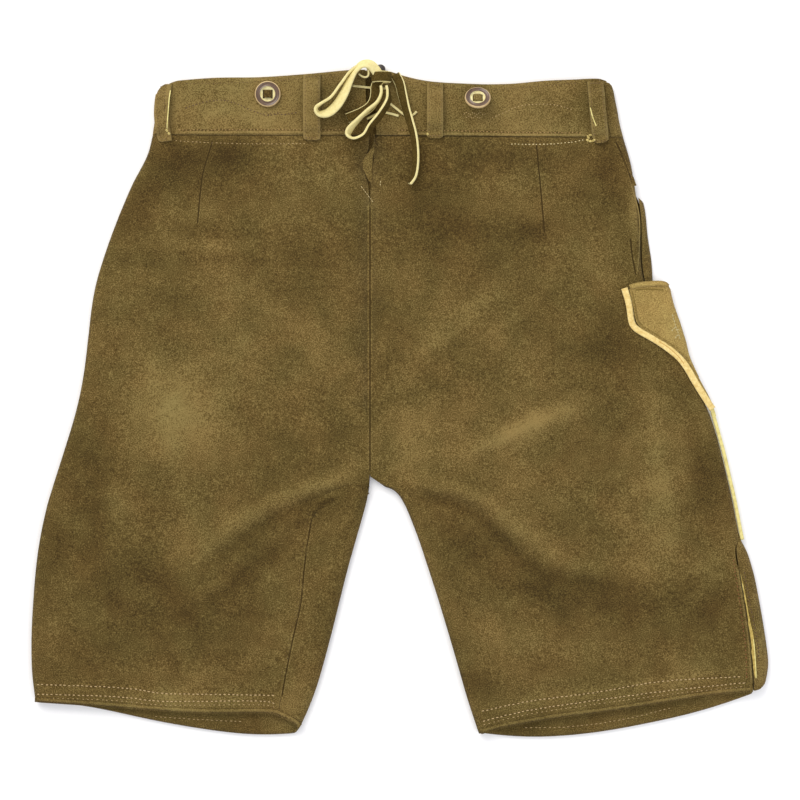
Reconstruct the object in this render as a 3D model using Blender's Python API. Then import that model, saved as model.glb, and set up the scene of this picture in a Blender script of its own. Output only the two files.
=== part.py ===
"""Lederhosen in suede, laid out flat on their front with the seat facing up.

Frame: +X to the right, +Y towards the waist, +Z up. The floor is z = 0 and the origin is under the middle.
Sizes are in millimetres, and a mesh turns them to metres as it is made. Each leg, and each half of the seat,
is a flattened tube: a row of a table gives its width, and a section of rounded edges and flat faces follows it.
"""

import math

import bpy
from mathutils import Matrix, Vector
from mathutils.bvhtree import BVHTree

MM = 0.001

# Leather
SUEDE = 1.6  # one layer of suede
BAND = 2.4  # the doubled waistband, and the doubled flap
HEM = 3.0  # a turned hem
TONGUE = 1.2  # the gusset behind the lacing gap
GAP = 0.3  # between pieces that meet at a seam
CLEAR = 0.5  # between a piece and the panel that it lies on
VENT_GAP = 1.4  # between the two edges of the open side vent

# The flattened tube
ROLL_HIGH = 4.6  # half the height of the rounded edge
ROLL_WIDE = 6.5  # how far in the rounded edge reaches
SETTLE = 40.0  # over this width the top layer sinks from the edge's height to the middle's
CENTRE_X = -27.0  # the centre back seam
BAND_MID = 7.2  # height of the top of the waistband, away from its edges

# Front flap, with a button let in flush at each top corner
FLAP_TOP_HALF = 88.0
FLAP_FOOT_HALF = 70.0
FLAP_FOOT_Y = 60.0
FLAP_TOP_Y = 238.4
FLAP_BUTTON_OUT = 68.0  # from the centre line
FLAP_BUTTON_DOWN = 16.0  # from the flap's top
FLAP_BUTTON_R = 8.4
FLAP_BUTTON_HIGH = 1.2

# Belt loops, braces' buttons and the lace
LOOP_THICK = 2.2
LOOP_LIFT = 4.5  # clear height for the belt
LOOP_FOOT = 5.0  # the stitched length at each end
LOOP_RISE = 9.0  # the length over which it lifts off
BUTTON_R = 11.6
BUTTON_HIGH = 3.2
BUTTON_DISH_R = 7.0
BUTTON_DISH_DEEP = 0.9
SLOT_NEAR = 3.4  # the button's two slots, from its middle
SLOT_FAR = 5.8
SLOT_HALF_LONG = 4.0
TAB_WIDE = 7.0  # the tab that holds the button, through both slots
TAB_THICK = 1.3
TAB_REACH = 4.6
TAB_CORNER = 0.9
THONG_WIDE = 9.0
THONG_THICK = 2.4
CROSS_WIDE = 2.0  # the thong where it is drawn tight
CROSS_THICK = 0.8

# Knife pocket and side seam
POCKET_LOW = 8.0  # the pocket's lining lies no lower than this
POCKET_ROLL = 5.0  # radius of its turned edge
POCKET_FOOT = 2.0  # height of the edge that is turned down
PIPING_WIDE = 5.8
PIPING_THICK = 1.2
WELT_WIDE = 3.2

# Each half, a row for each section from the waist to the hem. side is the outer edge of the cloth and end its inner
# edge: the centre seam above the fork, the inside of the leg below it. back_x is the back panel's own edge where it
# leaves the centre line. side_lap and end_lap say how far the front panel wraps onto the top. hem says how much of
# the hem's curve the row has.
COLUMNS = "side_x side_y end_x end_y back_x side_lap end_lap mid wall hem".split()
OPEN = None  # an end_lap of OPEN is a row above the fork, where the halves meet at the centre seam
LEFT_ROWS = (
    (-223.0, 239.1, -27.0, 239.1, -27.6, 0.8, OPEN, 6.6, SUEDE, 0.0),
    (-225.5, 227.0, -27.0, 227.0, -27.4, 0.6, OPEN, 6.6, SUEDE, 0.0),
    (-228.5, 219.0, -27.0, 219.0, -32.0, 0.6, OPEN, 6.6, SUEDE, 0.0),
    (-232.0, 212.0, -27.0, 212.0, -34.0, 0.6, OPEN, 6.5, SUEDE, 0.0),
    (-236.5, 204.0, -27.0, 204.0, -32.0, 0.6, OPEN, 6.4, SUEDE, 0.0),
    (-242.0, 194.0, -27.0, 194.0, -27.0, 0.6, OPEN, 6.3, SUEDE, 0.0),
    (-257.0, 158.0, -27.0, 158.0, -27.0, 0.6, OPEN, 5.4, SUEDE, 0.0),
    (-266.5, 131.0, -27.0, 131.0, -27.0, 0.6, OPEN, 5.2, SUEDE, 0.0),
    (-275.0, 104.0, -27.0, 104.0, -27.0, 0.6, OPEN, 5.2, SUEDE, 0.0),
    (-279.0, 77.0, -27.0, 77.0, -27.0, 0.6, OPEN, 5.2, SUEDE, 0.0),
    (-280.5, 60.0, -27.0, 60.0, -27.0, 0.6, OPEN, 5.2, SUEDE, 0.0),
    (-281.0, 58.5, -27.0, 58.5, -27.0, 0.6, OPEN, 5.2, SUEDE, 0.0),
    (-284.0, 28.0, -27.0, 28.0, -27.0, 0.6, OPEN, 5.2, SUEDE, 0.0),
    (-290.5, -6.0, -27.0, -6.0, -27.0, 0.6, OPEN, 5.4, SUEDE, 0.0),
    (-301.0, -40.0, -27.0, -40.0, -27.0, 0.6, OPEN, 5.8, SUEDE, 0.0),
    (-310.0, -68.0, -27.0, -68.0, -27.0, 0.6, OPEN, 6.2, SUEDE, 0.0),
    (-313.0, -77.5, -27.4, -77.0, -27.4, 0.6, 0.8, 6.4, SUEDE, 0.0),
    (-315.0, -84.0, -28.4, -83.0, -28.4, 0.6, 18.0, 6.4, SUEDE, 0.0),
    (-317.2, -91.0, -30.2, -91.0, -30.2, 0.6, 36.0, 6.4, SUEDE, 0.0),
    (-319.0, -98.0, -32.2, -99.0, -32.2, 0.6, 46.5, 6.4, SUEDE, 0.0),
    (-325.0, -125.0, -40.0, -126.0, -40.0, 0.6, 43.0, 6.4, SUEDE, 0.0),
    (-328.5, -152.0, -48.0, -154.0, -48.0, 0.6, 38.5, 6.4, SUEDE, 0.0),
    (-330.6, -180.0, -55.0, -183.0, -55.0, 0.6, 34.5, 6.4, SUEDE, 0.10),
    (-332.5, -212.0, -63.5, -217.0, -63.5, 0.6, 33.5, 6.8, SUEDE, 0.25),
    (-332.0, -242.0, -72.5, -250.0, -72.5, 0.6, 31.0, 7.6, SUEDE, 0.55),
    (-330.6, -254.5, -78.5, -268.0, -78.5, 0.6, 28.0, 8.6, HEM, 0.80),
    (-328.5, -270.0, -89.6, -294.4, -89.6, 0.6, 20.0, 9.0, HEM, 1.0),
)
RIGHT_ROWS = (
    (201.6, 237.0, -27.0, 238.8, -21.6, 9.0, OPEN, 6.6, SUEDE, 0.0),
    (205.0, 226.0, -27.0, 226.0, -23.0, 8.0, OPEN, 6.6, SUEDE, 0.0),
    (208.6, 213.0, -27.0, 213.0, -24.2, 6.2, OPEN, 6.5, SUEDE, 0.0),
    (210.2, 203.0, -27.0, 203.0, -25.2, 4.0, OPEN, 6.4, SUEDE, 0.0),
    (211.6, 193.0, -27.0, 193.0, -27.0, 1.6, OPEN, 6.3, SUEDE, 0.0),
    (217.0, 157.0, -27.0, 157.0, -27.0, 0.6, OPEN, 5.4, SUEDE, 0.0),
    (216.6, 122.0, -27.0, 122.0, -27.0, 0.6, OPEN, 5.2, SUEDE, 0.0),
    (221.0, 101.0, -27.0, 101.0, -27.0, 0.6, OPEN, 5.2, SUEDE, 0.0),
    (234.0, 80.0, -27.0, 80.0, -27.0, 0.6, OPEN, 5.2, SUEDE, 0.0),
    (246.0, 60.0, -27.0, 60.0, -27.0, 0.6, OPEN, 5.2, SUEDE, 0.0),
    (246.8, 58.5, -27.0, 58.5, -27.0, 0.6, OPEN, 5.2, SUEDE, 0.0),
    (257.0, 36.0, -27.0, 36.0, -27.0, 0.6, OPEN, 5.2, SUEDE, 0.0),
    (266.0, 14.0, -27.0, 14.0, -27.0, 0.6, OPEN, 5.4, SUEDE, 0.0),
    (279.5, -10.0, -27.0, -10.0, -27.0, 0.6, OPEN, 5.6, SUEDE, 0.0),
    (289.0, -44.0, -27.0, -44.0, -27.0, 0.6, OPEN, 5.8, SUEDE, 0.0),
    (295.0, -70.0, -27.0, -68.0, -27.0, 0.6, OPEN, 6.2, SUEDE, 0.0),
    (297.4, -80.0, -13.8, -77.4, -13.8, 0.6, 0.8, 6.4, SUEDE, 0.0),
    (299.4, -89.0, -1.0, -81.0, -1.0, 0.6, 0.8, 6.4, SUEDE, 0.0),
    (303.4, -110.0, 9.5, -105.0, 9.5, 0.6, 0.8, 6.4, SUEDE, 0.0),
    (306.4, -125.0, 17.0, -125.0, 17.0, 0.6, 0.8, 6.4, SUEDE, 0.0),
    (312.0, -132.5, 20.0, -134.0, 20.0, 11.0, 0.8, 6.4, SUEDE, 0.0),
    (317.0, -146.0, 25.5, -151.0, 25.5, 13.5, 0.8, 6.4, SUEDE, 0.0),
    (322.0, -170.0, 34.0, -177.0, 34.0, 14.2, 0.8, 6.4, SUEDE, 0.10),
    (327.4, -200.0, 43.0, -207.0, 43.0, 15.0, 0.8, 6.8, SUEDE, 0.25),
    (331.6, -228.0, 53.5, -243.0, 53.5, 16.0, 0.8, 7.6, SUEDE, 0.55),
    (332.6, -243.0, 60.0, -267.0, 60.0, 15.5, 0.8, 8.6, HEM, 0.80),
    (328.5, -258.5, 71.0, -299.5, 71.0, 11.0, 0.8, 9.0, HEM, 1.0),
)

# How far each hem's edge leaves the straight line between its ends: the share of the way from the side, and the rise.
# What a front panel wraps onto the top follows the back's curve.
HEM_CURVES = {
    ("left", "back"): ((0, 0), (0.25, 2), (0.6, 4.5), (0.87, 11), (0.93, 9), (0.98, 4), (1, 0)),
    ("left", "front"): (
        (0, 0), (0.2, 0), (0.4, -6.5), (0.62, -10.4), (0.78, -11.8), (0.93, -8.5), (0.975, -6), (1, 0),
    ),
    ("right", "back"): ((0, 0), (0.05, -1), (0.2, 2.3), (0.5, 2.1), (0.75, 3.6), (0.93, 2.5), (1, 0)),
    ("right", "front"): ((0, 0), (0.05, -6), (0.16, -11.3), (0.3, -15), (0.6, -17), (0.78, -13), (0.92, -6), (1, 0)),
}

# The waistband, from its lower edge up. rise says how much of the top edge's curve the row has.
BAND_LEFT_ROWS = (
    (-223.2, 239.6, -27.0, 239.4, -27.8, 4.0, OPEN, BAND_MID, BAND, 0.0),
    (-221.4, 253.0, -27.0, 254.0, -29.2, 4.0, OPEN, BAND_MID, BAND, 0.15),
    (-217.8, 269.0, -27.0, 276.0, -30.6, 4.0, OPEN, BAND_MID, BAND, 0.5),
    (-212.0, 284.0, -27.0, 298.4, -30.6, 4.0, OPEN, BAND_MID, BAND, 1.0),
)
BAND_RIGHT_ROWS = (
    (201.6, 237.4, -27.0, 239.4, -21.4, 12.0, OPEN, BAND_MID, BAND, 0.0),
    (197.6, 252.0, -27.0, 254.0, -21.8, 12.0, OPEN, BAND_MID, BAND, 0.15),
    (195.0, 268.0, -27.0, 276.0, -23.4, 12.0, OPEN, BAND_MID, BAND, 0.5),
    (191.6, 286.0, -27.0, 298.4, -23.4, 12.0, OPEN, BAND_MID, BAND, 1.0),
)
BAND_TOPS = {
    "left": ((0, 0), (0.07, 3.2), (0.22, 3.6), (0.5, 0.4), (0.7, 0.3), (0.9, 1.0), (1, 0)),
    "right": ((0, 0), (0.06, 3), (0.24, 0), (0.37, -4.4), (0.5, -7.7), (0.75, -8.2), (0.87, -4.3), (0.93, 0), (1, 0)),
}

# The largest folds of the top layer, each a soft ridge or, below zero, a trough along a bent line: its start, its
# bend, its end, how wide and how high.
FOLDS = (
    ((-40.0, -66.0), (-120.0, -86.0), (-200.0, -160.0), 17.0, 4.0),
    ((-58.0, -104.0), (-140.0, -128.0), (-225.0, -176.0), 9.0, -1.4),
    ((-105.0, -150.0), (-150.0, -176.0), (-215.0, -200.0), 14.0, 2.4),
    ((14.0, -64.0), (80.0, -80.0), (150.0, -135.0), 17.0, 4.0),
    ((24.0, -98.0), (90.0, -136.0), (225.0, -166.0), 10.0, -1.4),
    ((20.0, -52.0), (90.0, -30.0), (180.0, 6.0), 16.0, 2.4),
)

# Belt loops: the middle of the top and foot, how wide, and how far the strap's outer edge leans down at the sides.
LOOPS = {
    "belt_loop_side_left": (((-211.0, 285.0), (-214.0, 258.0), (-211.0, 233.0)), 12.5, 12.0),
    "belt_loop_centre_left": (((-79.2, 293.6), (-79.2, 264.0), (-79.2, 234.6)), 15.5, 0.0),
    "belt_loop_centre_right": (((31.5, 286.0), (31.5, 262.0), (31.5, 236.4)), 14.5, 0.0),
    "belt_loop_side_right": (((175.5, 287.0), (177.0, 262.0), (180.5, 231.6)), 14.5, 0.0),
}

# Braces' buttons: the middle of each, and how far it tips towards the waist, in degrees.
BUTTONS = {"left": (-118.9, 275.9, 0.0), "right": (69.6, 272.2, 17.0)}
STUD = (-17.6, 299.2)

# Knife pocket, from its mouth to its tip: the welt's two edges and the pocket's outer edge.
POCKET_COLUMNS = "welt_x welt_y cloth_x cloth_y outer_x outer_y".split()
POCKET_ROWS = (
    (198.2, 98.6, 205.0, 104.2, 243.0, 105.0),
    (201.6, 86.5, 210.3, 86.5, 246.2, 88.0),
    (204.6, 70.0, 213.0, 68.4, 252.4, 72.0),
    (210.0, 63.0, 220.0, 63.6, 255.6, 61.0),
    (225.0, 53.4, 232.0, 57.6, 258.6, 52.0),
    (238.8, 44.3, 243.0, 50.0, 260.2, 42.0),
    (250.0, 33.3, 254.0, 42.0, 264.6, 31.5),
    (258.4, 23.0, 262.0, 29.0, 269.4, 21.5),
)
POCKET_TAIL = ((262.5, 21.6), (269.6, 10.0), (276.4, -0.6), (281.0, -7.2))  # the welt goes on to the side seam
WELT_TOP = -10.0  # the side seam's own welt takes over here, down to the vent
WELT_FOOT = -125.0

# The facing of the front pocket, from the waist down: its edge at the seam and its outer edge.
FACING_COLUMNS = "seam_x seam_y outer_x outer_y".split()
FACING_ROWS = (
    (214.8, 183.0, 219.8, 178.6),
    (217.2, 168.0, 222.2, 168.0),
    (217.8, 150.0, 223.2, 148.0),
    (217.6, 128.0, 227.4, 127.0),
    (219.4, 112.0, 227.8, 112.0),
    (222.6, 101.0, 228.4, 100.0),
)

# The lace: points along the middle of the thong, and how far it is turned from lying flat, in degrees.
LACE = {
    "lace_loop_upper": (
        (-25.0, 298.0, 15.5, 70), (-33.0, 302.0, 15.5, 78), (-44.0, 296.0, 15.5, 80), (-54.0, 283.0, 16.5, 80),
        (-62.0, 272.0, 18.0, 80), (-70.4, 266.0, 19.0, 85), (-75.0, 261.8, 19.2, 96), (-72.6, 257.0, 19.0, 122),
        (-65.0, 257.4, 18.4, 150), (-57.0, 264.0, 18.0, 160), (-50.0, 275.0, 18.0, 166), (-44.0, 287.0, 18.6, 168),
        (-36.4, 296.5, 19.4, 170), (-28.0, 300.8, 20.2, 172), (-21.0, 300.6, 20.6, 172),
    ),
    "lace_loop_lower": (
        (-17.0, 281.6, 17.0, 92), (-16.8, 275.0, 17.0, 92), (-21.0, 267.4, 17.0, 96), (-30.6, 260.4, 16.6, 108),
        (-39.6, 252.6, 16.0, 122), (-46.0, 243.6, 15.6, 116), (-46.4, 238.0, 15.4, 102), (-40.4, 234.4, 15.4, 82),
        (-31.6, 237.8, 15.4, 66), (-25.8, 246.4, 15.8, 58), (-17.6, 256.4, 16.4, 58), (-10.8, 268.0, 17.0, 64),
        (-10.4, 276.0, 17.0, 78), (-12.0, 281.8, 17.0, 86),
    ),
    "lace_tail_left": (
        (-22.0, 281.6, 10.6, 0), (-22.2, 276.0, 9.8, 0), (-23.4, 270.0, 9.2, 0), (-26.8, 264.4, 9.2, 0),
        (-33.0, 259.8, 9.2, 0), (-40.0, 256.6, 9.2, 0), (-47.5, 253.6, 9.2, 0),
    ),
    "lace_tail_right": (
        (-4.6, 292.6, 14.0, 8), (-0.6, 285.4, 13.2, 14), (2.0, 275.4, 12.8, 22), (5.2, 262.8, 12.8, 32),
        (8.6, 252.0, 12.6, 38), (12.0, 240.0, 12.4, 42), (13.9, 227.0, 12.2, 44), (14.0, 213.3, 12.0, 42),
        (12.4, 202.0, 11.8, 40), (9.0, 194.8, 11.4, 34),
    ),
}
CROSSES = (  # where each stretch between the eyelets runs over the bands
    ((-42.7, 283.6), (-25.4, 281.7), (-10.0, 281.0)),
    ((-29.7, 253.8), (-18.5, 259.2), (-12.6, 259.5), (-1.3, 256.5)),
    ((-9.0, 267.7), (2.2, 258.7), (6.4, 256.2), (10.8, 256.7), (15.0, 260.4)),
)
KNOT = (-16.6, 290.2, 14.6)
KNOT_SIZE = (8.4, 6.6, 5.2)

COLOURS = {  # linear red, green, blue, then roughness
    "suede": (0.17, 0.12, 0.045, 0.95),
    "pocket suede": (0.34, 0.26, 0.09, 0.95),
    "thong": (0.80, 0.66, 0.33, 0.85),
    "horn": (0.16, 0.11, 0.08, 0.35),
    "stud": (0.05, 0.035, 0.025, 0.4),
}


def clear_scene():
    for item in list(bpy.data.objects):
        bpy.data.objects.remove(item, do_unlink=True)


def material(name):
    found = bpy.data.materials.get(name)
    if found:
        return found
    made = bpy.data.materials.new(name)
    made.use_nodes = True
    shader = made.node_tree.nodes["Principled BSDF"]
    red, green, blue, rough = COLOURS[name]
    shader.inputs["Base Color"].default_value = (red, green, blue, 1)
    shader.inputs["Roughness"].default_value = rough
    return made


def add_object(name, points, faces, finish):
    mesh = bpy.data.meshes.new(name)
    mesh.from_pydata([Vector(p) * MM for p in points], [], faces)
    mesh.validate()
    mesh.materials.append(material(finish))
    mesh.shade_smooth()
    made = bpy.data.objects.new(name, mesh)
    bpy.context.scene.collection.objects.link(made)
    return made


def wall(name, outer, inner, finish):
    """A closed wall between two grids of points, the outer one seen with its rows running down and columns right."""
    rows, columns = len(outer), len(outer[0])
    points = [p for row in outer for p in row] + [p for row in inner for p in row]
    skip = rows * columns

    def at(i, j):
        return i * columns + j

    faces = []
    for i in range(rows - 1):
        for j in range(columns - 1):
            quad = (at(i, j), at(i + 1, j), at(i + 1, j + 1), at(i, j + 1))
            faces.append(quad)
            faces.append(tuple(k + skip for k in reversed(quad)))
    rim = [at(0, j) for j in range(columns)] + [at(i, columns - 1) for i in range(1, rows)]
    rim += [at(rows - 1, j) for j in range(columns - 2, -1, -1)] + [at(i, 0) for i in range(rows - 2, 0, -1)]
    for here, there in zip(rim, rim[1:] + rim[:1]):
        faces.append((here, there, there + skip, here + skip))
    return add_object(name, points, faces, finish)


def read_curve(table, at):
    """The value of a short table of (place, value) pairs, eased between its rows."""
    for (start, low), (end, high) in zip(table, table[1:]):
        if at <= end:
            share = (at - start) / (end - start)
            return low + (high - low) * share * share * (3 - 2 * share)
    return table[-1][1]


def fold_height(x, y):
    """How far the folds lift the top layer at a place."""
    total = 0.0
    steps = 14
    for start, bend, end, wide, high in FOLDS:
        nearest, along = math.inf, 0.0
        for k in range(steps + 1):
            t = k / steps
            px = (1 - t) ** 2 * start[0] + 2 * t * (1 - t) * bend[0] + t * t * end[0]
            py = (1 - t) ** 2 * start[1] + 2 * t * (1 - t) * bend[1] + t * t * end[1]
            away = math.hypot(x - px, y - py)
            if away < nearest:
                nearest, along = away, t
        fade = math.sin(math.pi * min(1.0, 0.12 + 0.88 * along)) ** 0.6 if along < 1 else 0.0
        total += high * fade * math.exp(-((nearest / wide) ** 2))
    return total


def ease(share):
    share = min(1.0, max(0.0, share))
    return share * share * (3 - 2 * share)


class Section:
    """One row of a half as a flattened loop: the top face, the rounded edges and the bottom face."""

    def __init__(self, rows, number, half, edge_curves, folds):
        self.row = dict(zip(COLUMNS, rows[number]))
        self.half = half
        self.curves = edge_curves
        self.folds = folds
        row = self.row
        self.side = Vector((row["side_x"], row["side_y"], 0))
        self.end = Vector((row["end_x"], row["end_y"], 0))
        self.long = (self.end - self.side).length
        self.open = row["end_lap"] is OPEN
        self.half_gap = {lap: GAP / 2 * self.slant(rows, number, lap) for lap in ("side_lap", "end_lap")}

    def slant(self, rows, number, lap):
        """How many times wider a gap is measured along the row than across a seam that crosses it at a slant."""
        here = self.row
        steepest = 0.0
        for values in rows[max(0, number - 1):number + 2]:
            other = dict(zip(COLUMNS, values))
            if here[lap] is not OPEN and other[lap] is not OPEN and other["end_y"] != here["end_y"]:
                steepest = max(steepest, abs((other[lap] - here[lap]) / (other["end_y"] - here["end_y"])))
        if lap == "side_lap" and here["side_y"] < 0 and here[lap] > ROLL_WIDE:
            return VENT_GAP / GAP
        return math.hypot(1.0, min(steepest, 4.0))

    def edge_share(self, d):
        """How rounded the loop is a distance in from an edge: 0 at its outermost point, 1 on the flat."""
        inside = max(0.0, 1 - max(d, 0.0) / ROLL_WIDE)
        return math.sqrt(max(0.0, 1 - inside * inside))

    def top(self, d):
        far = self.long if self.open else self.long - d
        near = d
        mid = self.row["mid"]
        lift = max(1 - ease((near - ROLL_WIDE) / SETTLE), 0 if self.open else 1 - ease((far - ROLL_WIDE) / SETTLE))
        level = mid + (2 * ROLL_HIGH - mid) * lift
        if self.folds:
            flat = self.place(d, 0, "back")
            level += fold_height(flat.x, flat.y) * (1 - lift)
        rounding = self.edge_share(near) * (1.0 if self.open else self.edge_share(far))
        return ROLL_HIGH + (level - ROLL_HIGH) * rounding

    def bottom(self, d):
        far = self.long if self.open else self.long - d
        rounding = self.edge_share(d) * (1.0 if self.open else self.edge_share(far))
        return ROLL_HIGH * (1 - rounding)

    def place(self, d, z, curve):
        share = min(1.0, max(0.0, d / self.long))
        flat = self.side.lerp(self.end, share)
        table = self.curves.get((self.half, curve)) or self.curves.get(self.half)
        rise = read_curve(table, share) * self.row["hem"] if table else 0.0
        return Vector((flat.x, flat.y + rise, z))

    def profile(self, stops):
        """The distance in, the height, the outward direction and the curve's name at each stop. A stop is a distance
        and a face."""
        out = []
        step = 0.05
        for d, face in stops:
            height = self.top if face == "top" else self.bottom
            low, high = max(0.0, d - step), min(self.long, d + step)
            along = Vector((high - low, height(high) - height(low)))
            if d <= 0.01 or (not self.open and d >= self.long - 0.01):
                outward = Vector((-1.0 if d <= 0.01 else 1.0, 0.0))
            else:
                outward = Vector((-along.y, along.x)) if face == "top" else Vector((along.y, -along.x))
            outward.normalize()
            out.append((d, height(d), outward, "back" if face == "top" else "front"))
        return out

    def points(self, stops, wall_now):
        """The outer and inner rows of a panel along these stops."""
        outer, inner = [], []
        for d, z, outward, curve in self.profile(stops):
            outer.append(self.place(d, z, curve))
            inner.append(self.place(d - outward.x * wall_now, z - outward.y * wall_now, curve))
        return outer, inner


# Distances at which a panel has a column: from the edge of a back panel, from the fold of a front panel's rounded
# edge, and from a front panel's edge beside the flap.
EDGE_STEPS = (0.0, 0.6, 1.8, 4.0, 7.5, 14.0, 26.0)
ROLL_STEPS = (0.0, 0.5, 1.6, 3.6, ROLL_WIDE)
FLAP_STEPS = (14.0, 12.0, 10.0, 8.0, 6.0, 4.0, 2.0, 0.0)
EVEN_COLUMNS = 6


def spread(start, stop, even):
    """Columns close together near both ends, as on the rounded edges, and even between."""
    inward = 1 if stop > start else -1
    near = [start + inward * s for s in EDGE_STEPS]
    far = [stop - inward * s for s in reversed(EDGE_STEPS)]
    middle = [near[-1] + (far[0] - near[-1]) * (k + 1) / (even + 1) for k in range(even)]
    return near + middle + far


def back_stops(section):
    row = section.row
    start = row["side_lap"] + section.half_gap["side_lap"]
    if section.open:
        stop = abs(row["back_x"] - row["side_x"]) - GAP / 2
    else:
        stop = section.long - row["end_lap"] - section.half_gap["end_lap"]
    return [(d, "top") for d in spread(start, stop, EVEN_COLUMNS)]


def front_stops(section, flap):
    """From the side's lap, round the rounded edge, along the floor and, below the fork, up onto the top again."""
    row = section.row
    lap = max(row["side_lap"] - section.half_gap["side_lap"], 0.15)
    stops = [(lap * k, "top") for k in (1.0, 0.6, 0.25)]
    stops += [(d, "bottom") for d in ROLL_STEPS]
    if section.open:
        stop = section.long - GAP / 2
        if flap and row["end_y"] > FLAP_FOOT_Y - 1:
            climb = (row["end_y"] - FLAP_FOOT_Y) / (FLAP_TOP_Y - FLAP_FOOT_Y)
            stop -= FLAP_FOOT_HALF + (FLAP_TOP_HALF - FLAP_FOOT_HALF) * climb
        reach = stop - ROLL_WIDE
        stops += [(ROLL_WIDE + reach * k, "bottom") for k in (0.2, 0.4, 0.6, 0.75, 0.85)]
        return stops + [(stop - s, "bottom") for s in FLAP_STEPS]
    reach = section.long - 2 * ROLL_WIDE
    stops += [(ROLL_WIDE + reach * k, "bottom") for k in (0.2, 0.4, 0.6, 0.8, 0.93)]
    stops += [(section.long - s, "bottom") for s in reversed(ROLL_STEPS)]
    lap = row["end_lap"] - section.half_gap["end_lap"]
    return stops + [(section.long - lap * k, "top") for k in (0.12, 0.45, 1.0)]


def panel(name, rows, half, layer, finish, curves, flap=False, folds=True):
    outer, inner = [], []
    for number in range(len(rows)):
        section = Section(rows, number, half, curves, folds and layer == "back")
        stops = back_stops(section) if layer == "back" else front_stops(section, flap)
        outside, inside = section.points(stops, section.row["wall"])
        outer.append(outside)
        inner.append(inside)
    if (half == "right") == (layer == "back"):
        outer = [list(reversed(row)) for row in outer]
        inner = [list(reversed(row)) for row in inner]
    return wall(name, outer, inner, finish)


def surface(objects):
    """A search tree of these pieces' faces."""
    points, faces = [], []
    for item in objects:
        skip = len(points)
        points += [v.co for v in item.data.vertices]
        faces += [tuple(k + skip for k in p.vertices) for p in item.data.polygons]
    return BVHTree.FromPolygons(points, faces)


def height_of(tree, x, y, reach):
    """The greatest height of a surface over a patch this far each way."""
    best = 0.0
    for dx in (-reach, 0.0, reach):
        for dy in (-reach, 0.0, reach):
            hit = tree.ray_cast(Vector((x + dx, y + dy, 100.0)) * MM, Vector((0, 0, -1)))
            if hit[0] is not None:
                best = max(best, hit[0].z / MM)
    return best


def smooth(route, count):
    """Points spread evenly along a smooth curve through a route's own points."""
    dense = []
    ends = [route[0]] + list(route) + [route[-1]]
    for a, b, c, d in zip(ends, ends[1:], ends[2:], ends[3:]):
        for k in range(12):
            t = k / 12
            dense.append([
                0.5 * (2 * q + (r - p) * t + (2 * p - 5 * q + 4 * r - s) * t * t + (3 * q - p - 3 * r + s) * t**3)
                for p, q, r, s in zip(a, b, c, d)
            ])
    dense.append(list(route[-1]))
    lengths = [0.0]
    for p, q in zip(dense, dense[1:]):
        lengths.append(lengths[-1] + math.dist(p[:3], q[:3]))
    out, i = [], 0
    for k in range(count):
        want = lengths[-1] * k / (count - 1)
        while i < len(dense) - 2 and lengths[i + 1] < want:
            i += 1
        share = (want - lengths[i]) / max(1e-9, lengths[i + 1] - lengths[i])
        out.append([p + (q - p) * share for p, q in zip(dense[i], dense[i + 1])])
    return out


def strip(name, route, wide, thick, finish):
    """A flat strap along a route of x, y, z and the angle that it is turned from lying flat."""
    points, faces = [], []
    for i, (x, y, z, turn) in enumerate(route):
        before = Vector(route[max(0, i - 1)][:3])
        after = Vector(route[min(len(route) - 1, i + 1)][:3])
        along = (after - before).normalized()
        across = along.cross(Vector((0, 0, 1))).normalized()
        across = Matrix.Rotation(math.radians(turn), 3, along) @ across
        up = across.cross(along)
        for a, b in ((-1, -1), (1, -1), (1, 1), (-1, 1)):
            points.append(Vector((x, y, z)) + across * a * wide / 2 + up * b * thick / 2)
    for i in range(len(route) - 1):
        for k in range(4):
            a, b = 4 * i + k, 4 * i + (k + 1) % 4
            faces.append((b, a, a + 4, b + 4))
    last = 4 * (len(route) - 1)
    faces.append((0, 1, 2, 3))
    faces.append((last + 3, last + 2, last + 1, last))
    return add_object(name, points, faces, finish)


def turned(name, profile, around, finish, steps=32):
    """A closed solid turned from (radius, height) pairs that start and end on its axis."""
    points, faces, rings = [], [], []
    for radius, height in profile:
        if radius == 0:
            rings.append([len(points)])
            points.append(Vector((0, 0, height)))
            continue
        rings.append(list(range(len(points), len(points) + steps)))
        for k in range(steps):
            angle = 2 * math.pi * k / steps
            points.append(Vector((radius * math.cos(angle), radius * math.sin(angle), height)))
    for low, high in zip(rings, rings[1:]):
        for k in range(steps):
            n = (k + 1) % steps
            if len(low) == 1:
                faces.append((low[0], high[n], high[k]))
            elif len(high) == 1:
                faces.append((low[k], low[n], high[0]))
            else:
                faces.append((low[k], low[n], high[n], high[k]))
    points = [around @ p for p in points]
    return add_object(name, points, faces, finish)


def plate(name, outline, low, high, finish):
    """A flat plate from its outline, listed anticlockwise from above."""
    count = len(outline)
    points = [Vector((x, y, low)) for x, y in outline] + [Vector((x, y, high)) for x, y in outline]
    faces = [tuple(reversed(range(count))), tuple(range(count, 2 * count))]
    for k in range(count):
        n = (k + 1) % count
        faces.append((k, n, n + count, k + count))
    return add_object(name, points, faces, finish)


def cut(target, cutter):
    """Cuts a closed guide shape out of a piece."""
    cutter.hide_render = True
    cutter.display_type = "WIRE"
    boolean = target.modifiers.new(cutter.name, "BOOLEAN")
    boolean.operation = "DIFFERENCE"
    boolean.solver = "EXACT"
    boolean.object = cutter


def box(low, high, around=Matrix.Identity(4)):
    corners = [Vector((x, y, z)) for z in (low[2], high[2]) for y in (low[1], high[1]) for x in (low[0], high[0])]
    faces = [(0, 2, 3, 1), (4, 5, 7, 6), (0, 1, 5, 4), (1, 3, 7, 5), (3, 2, 6, 7), (2, 0, 4, 6)]
    return [around @ p for p in corners], faces


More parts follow.
